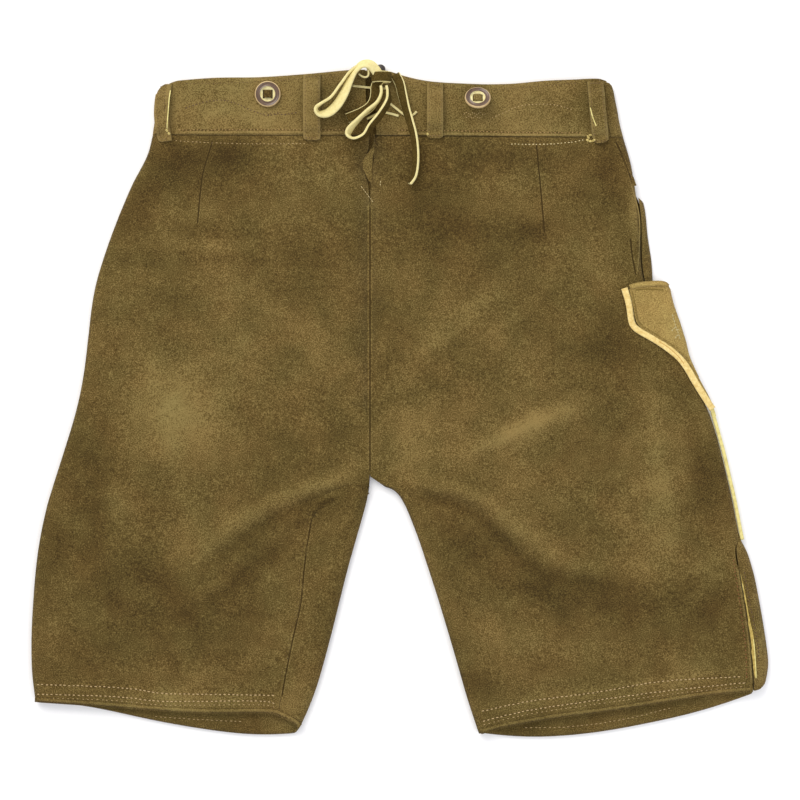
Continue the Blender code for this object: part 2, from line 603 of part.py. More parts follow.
def make_panels():
    made = {}
    for half, rows in (("left", LEFT_ROWS), ("right", RIGHT_ROWS)):
        for layer in ("back", "front"):
            name = f"{layer}_{half}"
            made[name] = panel(name, rows, half, layer, "suede", HEM_CURVES, flap=layer == "front")
    return made


def make_bands():
    made = {}
    for half, rows in (("left", BAND_LEFT_ROWS), ("right", BAND_RIGHT_ROWS)):
        name = f"waistband_back_{half}"
        upward = tuple(reversed(rows))
        made[name] = panel(name, upward, half, "back", "suede", BAND_TOPS, folds=False)
    outer, inner = [], []
    for number in reversed(range(len(BAND_LEFT_ROWS))):
        both = []
        for rows, half in ((BAND_LEFT_ROWS, "left"), (BAND_RIGHT_ROWS, "right")):
            section = Section(rows, number, half, BAND_TOPS, False)
            stops = [(d + GAP / 2 if d > section.long - 1 else d, face) for d, face in front_stops(section, False)]
            both.append(section.points(stops, BAND))
        (left_out, left_in), (right_out, right_in) = both
        outer.append(list(reversed(left_out + list(reversed(right_out[:-1])))))
        inner.append(list(reversed(left_in + list(reversed(right_in[:-1])))))
    made["waistband_front"] = wall("waistband_front", outer, inner, "suede")
    return made


def make_flap():
    """The fall front, doubled, and its two buttons, each flush in its own round hollow."""
    foot, top = FLAP_FOOT_HALF - GAP / 2, FLAP_TOP_HALF - GAP / 2
    edge, high, wide = 0.4, FLAP_BUTTON_HIGH, FLAP_BUTTON_R
    disc = ((0, 0.0), (wide - edge, 0.0), (wide, edge), (wide, high - 0.2), (wide - edge, high), (0, high))
    hollow = ((0, -1.0), (wide + edge, -1.0), (wide + edge, high + GAP), (0, high + GAP))
    outline = [(CENTRE_X - foot, FLAP_FOOT_Y + 2 * GAP), (CENTRE_X + foot, FLAP_FOOT_Y + 2 * GAP)]
    outline += [(CENTRE_X + top, FLAP_TOP_Y), (CENTRE_X - top, FLAP_TOP_Y)]
    flap = plate("front_flap", outline, 0.0, BAND, "suede")
    for half, sign in (("left", -1), ("right", 1)):
        middle = Vector((CENTRE_X + sign * FLAP_BUTTON_OUT, FLAP_TOP_Y - FLAP_BUTTON_DOWN, 0.0))
        around = Matrix.Translation(middle)
        turned(f"flap_button_{half}", disc, around, "horn", steps=24)
        cut(flap, turned(f"flap_hollow_{half}", hollow, around, "suede", steps=24))


def make_gusset():
    """The tongue of suede behind the lacing gap."""
    low = 3.0
    outline = [(-27.0, 181.0), (-18.0, 186.0), (-8.0, 204.0), (0.0, 236.0), (3.0, 292.0), (-57.0, 292.0)]
    outline += [(-54.0, 236.0), (-46.0, 204.0), (-36.0, 186.0)]
    plate("back_gusset", outline, low, low + TONGUE, "suede")


def make_belt_loops(under):
    """Each strap lies on the band at both ends and stands clear of it between them."""
    for name, (route, wide, lean) in LOOPS.items():
        line = smooth([(x, y, 0.0, 0.0) for x, y in route], 25)
        long = sum(math.dist(p[:3], q[:3]) for p, q in zip(line, line[1:]))
        sign = -1 if "left" in name else 1
        raised = []
        for k, (x, y, _, _) in enumerate(line):
            along = long * k / (len(line) - 1)
            base = max(height_of(under, x + s, y, 2.0) for s in (-wide / 3, 0.0, wide / 3))
            raised.append((x, y, base, ease((min(along, long - along) - LOOP_FOOT) / LOOP_RISE)))
        crest = max(base for _, _, base, _ in raised)
        spare = math.sin(math.radians(lean)) * wide / 2  # the edge that leans down keeps the clear height
        out = []
        for x, y, base, share in raised:
            z = base + (crest - base + LOOP_LIFT - CLEAR) * share + CLEAR + LOOP_THICK / 2
            out.append((x, y, z + spare * share, sign * lean * share))
        strip(name, out, wide, LOOP_THICK, "suede")


def make_brace_buttons():
    """Dished horn buttons, each held by a leather tab that goes down through its two slots."""
    rim, dish, high = BUTTON_R, BUTTON_DISH_R, BUTTON_HIGH
    floor = high - BUTTON_DISH_DEEP
    profile = ((0, 0.0), (rim - 1.0, 0.0), (rim, 0.9), (rim, high - 0.7), (rim - 0.8, high))
    profile += ((dish + 0.8, high - 0.2), (dish, floor), (0, floor))
    top = floor + GAP + TAB_THICK / 2 + 0.05
    leg = [(-TAB_REACH, 0, 0.4), (-TAB_REACH, 0, top - TAB_CORNER)]
    leg += [(-TAB_REACH + TAB_CORNER * 0.3, 0, top - TAB_CORNER * 0.3), (-TAB_REACH + TAB_CORNER, 0, top)]
    route = leg + [(-x, 0, z) for x, _, z in reversed(leg)]
    for half, (x, y, tip) in BUTTONS.items():
        low = BAND_MID + CLEAR + rim * math.sin(math.radians(tip))
        around = Matrix.Translation(Vector((x, y, low))) @ Matrix.Rotation(math.radians(-tip), 4, "X")
        button = turned(f"brace_button_{half}", profile, around, "horn")
        for side in (-1, 1):
            near, far = sorted((side * SLOT_NEAR, side * SLOT_FAR))
            points, faces = box((near, -SLOT_HALF_LONG, -1.0), (far, SLOT_HALF_LONG, high + 1.0), around)
            cut(button, add_object(f"slot_{half}_{side}", points, faces, "suede"))
        tab(f"button_tab_{half}", route, TAB_WIDE, TAB_THICK, around)


def tab(name, route, wide, thick, around):
    """A short strap bent in one plane, as a staple is."""
    points, faces = [], []
    for i, place in enumerate(route):
        before, after = Vector(route[max(0, i - 1)]), Vector(route[min(len(route) - 1, i + 1)])
        along = (after - before).normalized()
        out = Vector((-along.z, 0, along.x))
        for a, b in ((-1, -1), (1, -1), (1, 1), (-1, 1)):
            points.append(around @ (Vector(place) + Vector((0, 1, 0)) * a * wide / 2 + out * b * thick / 2))
    for i in range(len(route) - 1):
        for k in range(4):
            a, b = 4 * i + k, 4 * i + (k + 1) % 4
            faces.append((a, b, b + 4, a + 4))
    last = 4 * (len(route) - 1)
    faces.append((3, 2, 1, 0))
    faces.append((last, last + 1, last + 2, last + 3))
    return add_object(name, points, faces, "suede")


def make_stud():
    """The small round stud at the middle of the waist, under the lacing gap."""
    around = Matrix.Translation(Vector((STUD[0], STUD[1], BAND + GAP)))
    turned("waist_stud", ((0, 0.0), (4.0, 0.0), (4.5, 0.5), (3.6, 1.2), (0, 1.5)), around, "stud", steps=20)


def make_knife_pocket(under):
    """The pocket lies on the side of the leg and is turned down round its edge. A welt finishes its other edge."""
    thick, roll = SUEDE, POCKET_ROLL
    outer, inner = [], []
    for values in POCKET_ROWS:
        row = dict(zip(POCKET_COLUMNS, values))
        start = Vector((row["cloth_x"] + 1.0, row["cloth_y"], 0))
        stop = Vector((row["outer_x"], row["outer_y"], 0))
        long = (stop - start).length
        out_row, in_row = [], []
        for k in range(8):
            flat = start.lerp(stop, k / 7 * (1 - roll / long))
            z = max(height_of(under, flat.x, flat.y, 2.0), POCKET_LOW) + CLEAR + thick
            out_row.append(Vector((flat.x, flat.y, z)))
            in_row.append(Vector((flat.x, flat.y, z - thick)))
        brow = out_row[-1].z
        middle = start.lerp(stop, 1 - roll / long)
        ahead = (stop - start).normalized()
        for angle in (30, 60, 90):
            turn = math.radians(angle)
            for rows, radius in ((out_row, roll), (in_row, roll - thick)):
                place = middle + ahead * radius * math.sin(turn)
                rows.append(Vector((place.x, place.y, brow - roll + radius * math.cos(turn))))
        for rows, reach in ((out_row, roll), (in_row, roll - thick)):
            place = middle + ahead * reach
            rows.append(Vector((place.x, place.y, POCKET_FOOT)))
        outer.append(out_row)
        inner.append(in_row)
    wall("knife_pocket", outer, inner, "pocket suede")
    route = []
    for values in POCKET_ROWS:
        row = dict(zip(POCKET_COLUMNS, values))
        route.append(((row["welt_x"] + row["cloth_x"]) / 2, (row["welt_y"] + row["cloth_y"]) / 2))
    route += POCKET_TAIL
    raised = []
    for x, y, _, _ in smooth([(x, y, 0.0, 0.0) for x, y in route], 34):
        raised.append((x, y, height_of(under, x, y, 3.0) + CLEAR + PIPING_THICK / 2, 0.0))
    strip("knife_pocket_piping", raised, PIPING_WIDE, PIPING_THICK, "thong")


def make_side_trims():
    """The welt in the side seam and the facing of the front pocket, which shows beside the leg."""
    welt = []
    for values in RIGHT_ROWS:
        row = dict(zip(COLUMNS, values))
        if WELT_FOOT <= row["side_y"] <= WELT_TOP:
            welt.append((row["side_x"] + CLEAR + WELT_WIDE / 2, row["side_y"], ROLL_HIGH, 0.0))
    strip("side_seam_welt", smooth(welt, 18), WELT_WIDE, PIPING_THICK, "thong")
    outer, inner = [], []
    for values in FACING_ROWS:
        row = dict(zip(FACING_COLUMNS, values))
        start, stop = Vector((row["seam_x"], row["seam_y"], 0)), Vector((row["outer_x"], row["outer_y"], 0))
        out_row, in_row = [], []
        for share, z in ((0, 6.0), (0.3, 6.0), (0.65, 5.0), (0.9, 3.2), (1.0, 1.6)):
            place = start.lerp(stop, share)
            out_row.append(Vector((place.x, place.y, z)))
            in_row.append(Vector((start.x + (place.x - start.x) * 0.75, place.y, max(0.0, z - SUEDE))))
        outer.append(out_row)
        inner.append(in_row)
    wall("side_pocket_facing", outer, inner, "suede")


def make_lace():
    """The thong: its two loops, its two tails, the knot, and the stretches drawn tight between the eyelets."""
    for name, route in LACE.items():
        strip(name, smooth(route, 30 if "loop" in name else 18), THONG_WIDE, THONG_THICK, "thong")
    middle = Matrix.Translation(Vector(KNOT)) @ Matrix.Diagonal(Vector((*KNOT_SIZE, 1)))
    around = [math.radians(angle) for angle in range(-65, 80, 26)]
    ball = [(0, -1.0)] + [(math.cos(angle), math.sin(angle)) for angle in around] + [(0, 1.0)]
    turned("lace_knot", ball, middle, "thong", steps=16)
    for number, route in enumerate(CROSSES, 1):
        line = [(x, y, BAND_MID + CLEAR + CROSS_THICK / 2, 0.0) for x, y in route]
        strip(f"lace_cross_{number}", smooth(line, 10), CROSS_WIDE, CROSS_THICK, "thong")


def main():
    clear_scene()
    panels = make_panels()
    bands = make_bands()
    make_flap()
    make_gusset()
    under = surface([*panels.values(), *bands.values()])
    make_belt_loops(under)
    make_brace_buttons()
    make_stud()
    make_knife_pocket(surface([panels["back_right"], panels["front_right"]]))
    make_side_trims()
    make_lace()


main()
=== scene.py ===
"""Lederhosen of olive-brown suede, laid out flat on their front with the seat facing up.

Frame: +X to the right, +Y towards the waist, +Z up, with the table at z = 0. Sizes here are in millimetres
and are turned to metres as a mesh is made. The sections follow the work: first the cut pieces, which are the
panels, waistband, gusset, belt loops, knife pocket and front flap, and the braces' buttons. Then come the
seams, the stitching, the side opening, the pocket's trim, the vent, the loops' trim and the thong, and last
the studio.
"""

import math
import random

import bmesh
import bpy
import numpy as np
from mathutils import Matrix, Vector
from mathutils.bvhtree import BVHTree


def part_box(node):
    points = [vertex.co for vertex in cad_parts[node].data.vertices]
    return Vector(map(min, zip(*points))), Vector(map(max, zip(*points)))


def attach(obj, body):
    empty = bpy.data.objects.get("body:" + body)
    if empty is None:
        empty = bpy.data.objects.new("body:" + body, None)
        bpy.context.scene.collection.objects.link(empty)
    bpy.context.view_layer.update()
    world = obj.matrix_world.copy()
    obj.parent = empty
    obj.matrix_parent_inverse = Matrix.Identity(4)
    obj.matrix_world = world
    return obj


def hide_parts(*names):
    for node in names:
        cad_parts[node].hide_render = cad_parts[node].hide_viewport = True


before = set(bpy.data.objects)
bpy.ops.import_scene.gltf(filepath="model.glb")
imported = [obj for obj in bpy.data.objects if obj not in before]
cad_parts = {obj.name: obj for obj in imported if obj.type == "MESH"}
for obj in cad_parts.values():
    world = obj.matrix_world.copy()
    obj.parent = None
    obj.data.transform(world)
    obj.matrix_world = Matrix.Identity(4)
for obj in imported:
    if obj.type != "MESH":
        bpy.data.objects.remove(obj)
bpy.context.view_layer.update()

# ----------------------------------------------------------------------------------------------------
# Back and front panels: the seat and legs. Deer-split suede about 1.6 mm thick, cut in four panels, vat-dyed
# olive brown and brushed to a nap. Each is a thin shell on its solid's form. Wear has pressed soft folds
# into it, whose ridges are painted lighter and troughs darker as light and shade, and the nap lies lighter
# and darker in patches.
MM = 0.001
FINE = 2  # how many times a panel's faces are halved beyond the first
LOW_LAYER = 3.4  # the front panels lie below this height

# Folds: a route over the cloth, how wide, and how high (below zero, a trough).
FOLDS = (
    (((-32, -77), (-76, -88), (-110, -103), (-144, -126), (-168, -145), (-192, -164)), 5.5, -2.0),
    (((-44, -68), (-82, -76), (-118, -91), (-150, -111), (-178, -135), (-198, -156)), 7.0, 1.6),
    (((-96, -128), (-126, -144), (-160, -168), (-191, -190), (-236, -209)), 7.0, -1.4),
    (((-150, -158), (-172, -171), (-190, -184)), 5.0, 1.7),
    (((6, -83), (44, -91), (67, -100), (88, -121), (106, -140), (130, -157), (176, -165),
    (222, -166)), 6.0, -2.2),
    (((16, -72), (50, -78), (78, -90), (102, -111), (124, -130), (150, -146), (190, -152)), 7.5, 1.8),
    (((44, -49), (82, -36), (120, -22), (190, 5)), 8.0, 1.5),
    (((28, 50), (62, 68), (108, 91)), 6.0, 1.1),
    (((36, 68), (60, 84), (92, 98)), 5.0, 0.8),
    (((-20, 74), (-4, 66), (18, 50)), 6.0, -0.9),
    (((222, 20), (232, -40), (240, -90), (246, -140)), 10.0, 1.2),
    (((262, -20), (268, -60), (272, -100)), 7.0, -1.1),
    (((-236, 60), (-214, 20), (-206, -20), (-212, -70)), 16.0, 1.3),
    (((-262, 118), (-220, 121), (-176, 124)), 7.0, -0.9),
    (((-300, -60), (-262, -80), (-230, -110)), 9.0, 0.9),
    (((-286, -120), (-262, -160), (-250, -210)), 10.0, -0.9),
    (((126, -200), (170, -190), (230, -186)), 9.0, -0.9),
    (((60, -200), (100, -214), (150, -214)), 8.0, 0.8),
)

# Shade of the nap: the middle of a patch, how far it reaches along and across, its turn in degrees, and how
# much lighter or darker it is.
PATCHES = (
    (-203, 218, 22, 14, 0, -0.75), (-151, 221, 28, 15, 0, -0.75), (-140, 204, 34, 14, -30, -0.30),
    (-198, 199, 30, 16, 0, -0.40), (-236, 177, 24, 14, 60, -0.50), (326, -205, 9, 70, 0, 0.75),
    (-155, 170, 55, 7, 3, 0.25), (-187, 154, 45, 7, -5, -0.50), (-176, 141, 50, 6, 0, 0.15),
    (-182, 129, 50, 8, -4, -0.55), (-106, 129, 25, 10, 10, -0.30), (-47, 183, 20, 35, 0, 0.20),
    (-176, 26, 70, 75, 0, 0.35), (-198, -17, 34, 30, 0, 0.55), (-232, 4, 34, 12, 70, 0.25),
    (-193, -114, 48, 14, -75, 0.45), (-279, -71, 20, 44, 0, -0.75), (-311, -136, 20, 50, 0, -0.35),
    (-209, -201, 60, 45, 0, -0.60), (-220, -157, 26, 12, -20, -0.50), (-295, -200, 30, 50, 0, -0.15),
    (-128, -147, 46, 11, 40, -0.45), (-68, -99, 42, 8, 25, -0.40), (-88, -82, 52, 9, 24, 0.30),
    (-112, -190, 18, 42, 0, 0.20), (-70, 40, 30, 70, 0, -0.10),
    (18, 199, 26, 50, 0, -0.50), (48, 159, 20, 16, 0, -0.65), (13, 140, 26, 18, 0, -0.35),
    (119, 152, 14, 11, 0, -0.85), (83, 150, 30, 12, 0, -0.35), (104, 220, 80, 11, 0, -0.55),
    (185, 199, 16, 30, 0, -0.50), (61, 80, 55, 7, 40, 0.65), (88, 64, 45, 6, 40, 0.45),
    (75, 71, 50, 5, 40, -0.25), (13, 37, 30, 10, 50, 0.30), (7, -23, 25, 40, 0, 0.30),
    (126, 107, 25, 8, 30, 0.30), (110, -24, 42, 7, 27, 0.65), (185, 48, 24, 28, 0, -0.70),
    (148, 15, 20, 20, 0, -0.20), (279, -60, 14, 32, 0, -0.55), (234, -103, 22, 46, 0, 0.50),
    (94, 4, 60, 30, 0, 0.15), (50, -114, 34, 12, -40, -0.55), (104, -163, 38, 14, -25, -0.55),
    (180, -174, 62, 14, -5, -0.60), (180, -200, 80, 24, 0, -0.35), (277, -195, 18, 26, 0, -0.45),
    (77, -255, 22, 14, 0, -0.50), (180, -262, 120, 9, 8, 0.50), (-190, -268, 120, 8, -3, 0.50),
    (-47, 262, 14, 18, 0, -0.60), (-45, 230, 18, 13, 0, -0.40), (140, 262, 66, 26, 0, -0.45),
    (60, 262, 30, 26, 0, -0.15), (211, 172, 6, 26, 0, 0.90), (-32, 182, 6, 12, 0, 0.80),
)
LEG_SHADE = 0.04  # below the fork the nap lies a little lighter
LEG_TOP = -70.0
FOLD_PAINTED_LIGHT = 0.26  # painted light and shade on the folds: a millimetre of ridge is painted this much lighter, a trough as much darker
NAP_CONTRAST = 0.31


def linear(code):
    """A colour written as sRGB hex, as linear red, green, blue and alpha."""
    parts = [int(code[k:k + 2], 16) / 255 for k in (1, 3, 5)]
    return [c / 12.92 if c <= 0.04045 else ((c + 0.055) / 1.055) ** 2.4 for c in parts] + [1.0]


def add_node(tree, kind, inputs=None, **settings):
    """A node with its settings, and its inputs either set or linked to another node's output."""
    made = tree.nodes.new(kind)
    for name, value in settings.items():
        setattr(made, name, value)
    for name, value in (inputs or {}).items():
        if isinstance(value, bpy.types.NodeSocket):
            tree.links.new(value, made.inputs[name])
        else:
            made.inputs[name].default_value = value
    return made


def distance_to(route, places):
    """For places (n, 2), the distance to a bent line, and how far along it the nearest point is, 0 to 1."""
    route = np.array(route, float)
    steps = np.linalg.norm(np.diff(route, axis=0), axis=1)
    starts = np.concatenate([[0.0], np.cumsum(steps)])
    nearest = np.full(len(places), 1e9)
    along = np.zeros(len(places))
    for k, (start, stop) in enumerate(zip(route, route[1:])):
        way = stop - start
        share = np.clip(((places - start) @ way) / (way @ way), 0, 1)
        away = np.linalg.norm(places - start - share[:, None] * way, axis=1)
        closer = away < nearest
        nearest = np.where(closer, away, nearest)
        along = np.where(closer, (starts[k] + share * steps[k]) / starts[-1], along)
    return nearest, along


def fold_lift(places):
    """How far the folds lift the cloth at each place."""
    total = np.zeros(len(places))
    for route, wide, high in FOLDS:
        away, along = distance_to(route, places)
        fade = np.clip(np.minimum(along + 0.12, 1 - along) / 0.3, 0, 1)
        total += high * fade * fade * (3 - 2 * fade) * np.exp(-((away / wide) ** 2))
    return total


def nap_shade(places):
    """How light or dark the nap lies at each place, about -1 to 1."""
    total = np.zeros(len(places))
    for x, y, long, wide, turn, strength in PATCHES:
        dx, dy = places[:, 0] - x, places[:, 1] - y
        c, s = math.cos(math.radians(turn)), math.sin(math.radians(turn))
        total += strength * np.exp(-(((dx * c + dy * s) / long) ** 2 + ((dy * c - dx * s) / wide) ** 2))
    down = np.clip((LEG_TOP - places[:, 1]) / 50, 0, 1)
    return total + LEG_SHADE * down * down * (3 - 2 * down)


def shell(name, halvings, folded=True, lighter=0.0):
    """A piece as a smooth shell on its solid's form, with the folds pressed into its upper layer and their
    light and shade painted into its nap.
    """
    form = bmesh.new()
    form.from_mesh(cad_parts[name].data)
    bmesh.ops.remove_doubles(form, verts=form.verts, dist=0.01 * MM)
    bmesh.ops.join_triangles(
        form, faces=form.faces, angle_face_threshold=math.radians(30), angle_shape_threshold=math.radians(70)
    )
    crease = form.edges.layers.float.new("crease_edge")
    for edge in form.edges:
        if len(edge.link_faces) == 2 and edge.calc_face_angle() > math.radians(52):
            edge[crease] = 1.0
    rough = bpy.data.meshes.new(name + "_form")
    form.to_mesh(rough)
    form.free()
    piece = bpy.data.objects.new(name + "_cloth", rough)
    bpy.context.scene.collection.objects.link(piece)
    rounded = piece.modifiers.new("rounded", "SUBSURF")
    rounded.levels = rounded.render_levels = halvings
    rounded.boundary_smooth = "PRESERVE_CORNERS"
    seen = piece.evaluated_get(bpy.context.evaluated_depsgraph_get())
    mesh = bpy.data.meshes.new_from_object(seen)
    piece.modifiers.clear()
    piece.data = mesh
    places = np.empty(len(mesh.vertices) * 3)
    mesh.vertices.foreach_get("co", places)
    places = places.reshape(-1, 3) / MM
    upper = np.clip((places[:, 2] - LOW_LAYER) / 2.5, 0, 1)
    if folded:
        places[:, 2] += fold_lift(places[:, :2]) * upper
    mirrored = places[:, :2] * (-1, 1) + (-54, 0)
    shade = nap_shade(places[:, :2]) * upper + nap_shade(mirrored) * (1 - upper) + lighter
    # the folds' ridges are painted lighter and their troughs darker, as painted light and shade
    shade += FOLD_PAINTED_LIGHT * fold_lift(places[:, :2]) * upper * folded
    mesh.vertices.foreach_set("co", (places * MM).ravel())
    # the attribute holds the nap's own tone and the painted light and shade of the folds, seams and edges
    mesh.attributes.new("nap", "FLOAT", "POINT").data.foreach_set("value", shade)
    mesh.shade_smooth()
    mesh.set_sharp_from_angle(angle=math.radians(50))
    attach(piece, "root")
    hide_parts(name)
    return piece


def dress(piece, material):
    piece.data.materials.clear()
    piece.data.materials.append(material)
    return piece


def brushed_suede(name, dark, middle, light, contrast=1.0):
    """Brushed split suede: matt, with a short nap that shows as soft clouds and a fine speckle and catches
    light on its edges. The nap's fibres are about 0.3 mm apart; the speckle is drawn at 1 mm so that it
    shows."""
    made = bpy.data.materials.new(name)
    made.use_nodes = True
    tree = made.node_tree
    shader = tree.nodes["Principled BSDF"]
    place = add_node(tree, "ShaderNodeTexCoord").outputs["Object"]
    nap = add_node(tree, "ShaderNodeAttribute", attribute_name="nap").outputs["Fac"]
    shade = add_node(
        tree, "ShaderNodeMath", {0: nap, 1: NAP_CONTRAST * contrast, 2: 0.5}, operation="MULTIPLY_ADD"
    ).outputs[0]
    for size_mm, detail, share in ((80.0, 2.0, 0.50), (18.0, 2.0, 0.32), (5.0, 2.0, 0.26), (1.0, 1.0, 1.45)):
        noise = add_node(
            tree, "ShaderNodeTexNoise",
            {"Vector": place, "Scale": 1 / (size_mm * MM), "Detail": detail, "Roughness": 0.55},
        )
        part = add_node(
            tree, "ShaderNodeMath", {0: noise.outputs["Fac"], 1: share * contrast, 2: -share * contrast / 2},
            operation="MULTIPLY_ADD",
        )
        shade = add_node(tree, "ShaderNodeMath", {0: shade, 1: part.outputs[0]}, operation="ADD").outputs[0]
    low = add_node(
        tree, "ShaderNodeMapRange", {"Value": shade, "From Min": 0.1, "From Max": 0.5}, clamp=True
    ).outputs[0]
    high = add_node(
        tree, "ShaderNodeMapRange", {"Value": shade, "From Min": 0.5, "From Max": 0.95}, clamp=True
    ).outputs[0]
    deep = add_node(tree, "ShaderNodeMix", {0: low, 6: linear(dark), 7: linear(middle)}, data_type="RGBA")
    full = add_node(tree, "ShaderNodeMix", {0: high, 6: deep.outputs[2], 7: linear(light)}, data_type="RGBA")
    clouds = add_node(tree, "ShaderNodeTexNoise", {"Vector": place, "Scale": 1 / (38.0 * MM), "Detail": 2.0})
    warmth = add_node(
        tree, "ShaderNodeMapRange", {"Value": clouds.outputs["Fac"], "From Min": 0.35, "From Max": 0.65},
        clamp=True,
    )
    tint = add_node(
        tree, "ShaderNodeMix",
        {0: warmth.outputs[0], 6: (0.985, 1.02, 1.0, 1.0), 7: (1.03, 0.985, 0.96, 1.0)}, data_type="RGBA",
    )
    dyed = add_node(
        tree, "ShaderNodeMix", {0: 1.0, 6: full.outputs[2], 7: tint.outputs[2]}, data_type="RGBA",
        blend_type="MULTIPLY",
    )
    tree.links.new(dyed.outputs[2], shader.inputs["Base Color"])
    fibres = add_node(tree, "ShaderNodeTexNoise", {"Vector": place, "Scale": 1 / (0.9 * MM), "Detail": 2.0})
    dents = add_node(tree, "ShaderNodeTexNoise", {"Vector": place, "Scale": 1 / (9.0 * MM), "Detail": 2.0})
    fine = add_node(
        tree, "ShaderNodeBump", {"Height": fibres.outputs["Fac"], "Strength": 0.45, "Distance": 0.25 * MM}
    )
    soft = add_node(
        tree, "ShaderNodeBump",
        {"Height": dents.outputs["Fac"], "Normal": fine.outputs[0], "Strength": 0.35, "Distance": 1.6 * MM},
    )
    tree.links.new(soft.outputs[0], shader.inputs["Normal"])
    shader.inputs["Roughness"].default_value = 0.92
    shader.inputs["IOR"].default_value = 1.45
    shader.inputs["Specular IOR Level"].default_value = 0.12
    shader.inputs["Sheen Weight"].default_value = 0.05
    shader.inputs["Sheen Roughness"].default_value = 0.6
    return made


def round_corner(piece, x, y, right, up, radius):
    """Rounds an outer corner of a piece, as seen from above. right and up, 1 or -1, point to its middle."""
    middle_x, middle_y = x + right * radius, y + up * radius
    for vertex in piece.data.vertices:
        dx, dy = vertex.co.x / MM - middle_x, vertex.co.y / MM - middle_y
        away = math.hypot(dx, dy)
        if dx * right < 0 and dy * up < 0 and away > radius:
            vertex.co.x = (middle_x + dx / away * radius) * MM
            vertex.co.y = (middle_y + dy / away * radius) * MM


HEM_CORNERS = {  # each corner's place, the ways to the middle, and the radius
    "back_left": ((-328.8, -270.8, 1, 1, 4.0),),
    "front_left": ((-87.2, -302.2, -1, 1, 11.0),),
    "front_right": ((69.8, -303.6, 1, 1, 7.0), (331.2, -260.5, -1, 1, 14.0)),
}
olive_suede = brushed_suede("brushed_olive_suede", "#382a0e", "#5a4922", "#877444")
cloth = []
for name in ("back_left", "back_right", "front_left", "front_right"):
    cloth.append(dress(shell(name, 1 + FINE), olive_suede))
    for corner in HEM_CORNERS.get(name, ()):
        round_corner(cloth[-1], *corner)

# ----------------------------------------------------------------------------------------------------
# Waistband: a doubled strip of the same suede, 60 mm deep, sewn to the top of the panels. It is in two
# halves at the back, either side of the lacing gap, and in one round the front. It is handled most, so its
# nap is the lightest.
for name in ("waistband_back_left", "waistband_back_right", "waistband_front"):
    band = dress(shell(name, 1 + FINE, lighter=0.68), olive_suede)
    round_corner(band, 191.8, 286.4, -1, -1, 6.0)
    cloth.append(band)

# ----------------------------------------------------------------------------------------------------
# Gusset: the tongue of suede that shows dark behind the lacing gap; its nap is painted darker as the gap's
# shade.
# It is cut single and sewn under both halves.
cloth.append(dress(shell("back_gusset", FINE, folded=False, lighter=-0.6), olive_suede))

# ----------------------------------------------------------------------------------------------------
# Belt loops: four straps of doubled suede, sewn down at both ends and standing off the band between them.
# Their cut edges show the pale yellow of the undyed core.
def cut_leather(name, dark, light):
    """The raw edge or flesh side of tanned leather: undyed, pale yellow, matt and slightly fibrous."""
    made = bpy.data.materials.new(name)
    made.use_nodes = True
    tree = made.node_tree
    shader = tree.nodes["Principled BSDF"]
    place = add_node(tree, "ShaderNodeTexCoord").outputs["Object"]
    noise = add_node(
        tree, "ShaderNodeTexNoise",
        {"Vector": place, "Scale": 1 / (3.0 * MM), "Detail": 3.0, "Roughness": 0.7},
    )
    spread = add_node(
        tree, "ShaderNodeMapRange", {"Value": noise.outputs["Fac"], "From Min": 0.3, "From Max": 0.7},
        clamp=True,
    )
    colour = add_node(
        tree, "ShaderNodeMix", {0: spread.outputs[0], 6: linear(dark), 7: linear(light)}, data_type="RGBA"
    )
    tree.links.new(colour.outputs[2], shader.inputs["Base Color"])
    fibres = add_node(tree, "ShaderNodeTexNoise", {"Vector": place, "Scale": 1 / (0.8 * MM), "Detail": 2.0})
    bump = add_node(
        tree, "ShaderNodeBump", {"Height": fibres.outputs["Fac"], "Strength": 0.4, "Distance": 0.2 * MM}
    )
    tree.links.new(bump.outputs[0], shader.inputs["Normal"])
    shader.inputs["Roughness"].default_value = 0.85
    shader.inputs["IOR"].default_value = 1.45
    return made


pale_core = cut_leather("undyed_leather_core", "#c8b96f", "#ebdf94")
LOOP_CORNERS = {  # each corner's place, the ways to the middle, and the radius
    "side_left": ((-217.6, 285.0, 1, -1, 10.5), (-217.4, 232.8, 1, 1, 2.5)),
    "centre_left": ((-86.9, 234.6, 1, 1, 3.0), (-71.5, 234.6, -1, 1, 3.0)),
    "centre_right": ((24.2, 236.4, 1, 1, 3.0), (38.8, 236.4, -1, 1, 3.0)),
    "side_right": ((173.4, 231.2, 1, 1, 5.0), (187.8, 232.4, -1, 1, 5.0)),
}
loops = []
for name, corners in LOOP_CORNERS.items():
    strap = dress(shell("belt_loop_" + name, 2, folded=False, lighter=0.75), olive_suede)
    for corner in corners:
        round_corner(strap, *corner)
    loops.append(strap)

# ----------------------------------------------------------------------------------------------------
# Knife pocket: a narrow pocket of paler suede on the side of the leg, turned down round the edge and sewn in
# with a yellow leather welt. The side seam below has a welt too, and above it the front pocket's facing shows.
pale_suede = brushed_suede("brushed_pale_suede", "#6f5d2c", "#947d47", "#b59d5c")
pocket = dress(shell("knife_pocket", 2, folded=False), pale_suede)
round_corner(pocket, 243.0, 105.2, -1, -1, 4.0)
cloth.append(pocket)
cloth.append(dress(shell("side_pocket_facing", 2, folded=False, lighter=0.35), olive_suede))
warm_welt = cut_leather("yellow_welt_leather", "#cdac62", "#efd994")
piping = dress(shell("knife_pocket_piping", 2, folded=False), warm_welt)
dress(shell("side_seam_welt", 2, folded=False), pale_core)

# ----------------------------------------------------------------------------------------------------
# Front flap: the fall front on the side that lies on the table, cut from the same suede, with a horn button
# let in at each top corner. A plain dark cap stands up behind the front of the waist.
flap = dress(shell("front_flap", 1, folded=False), olive_suede)


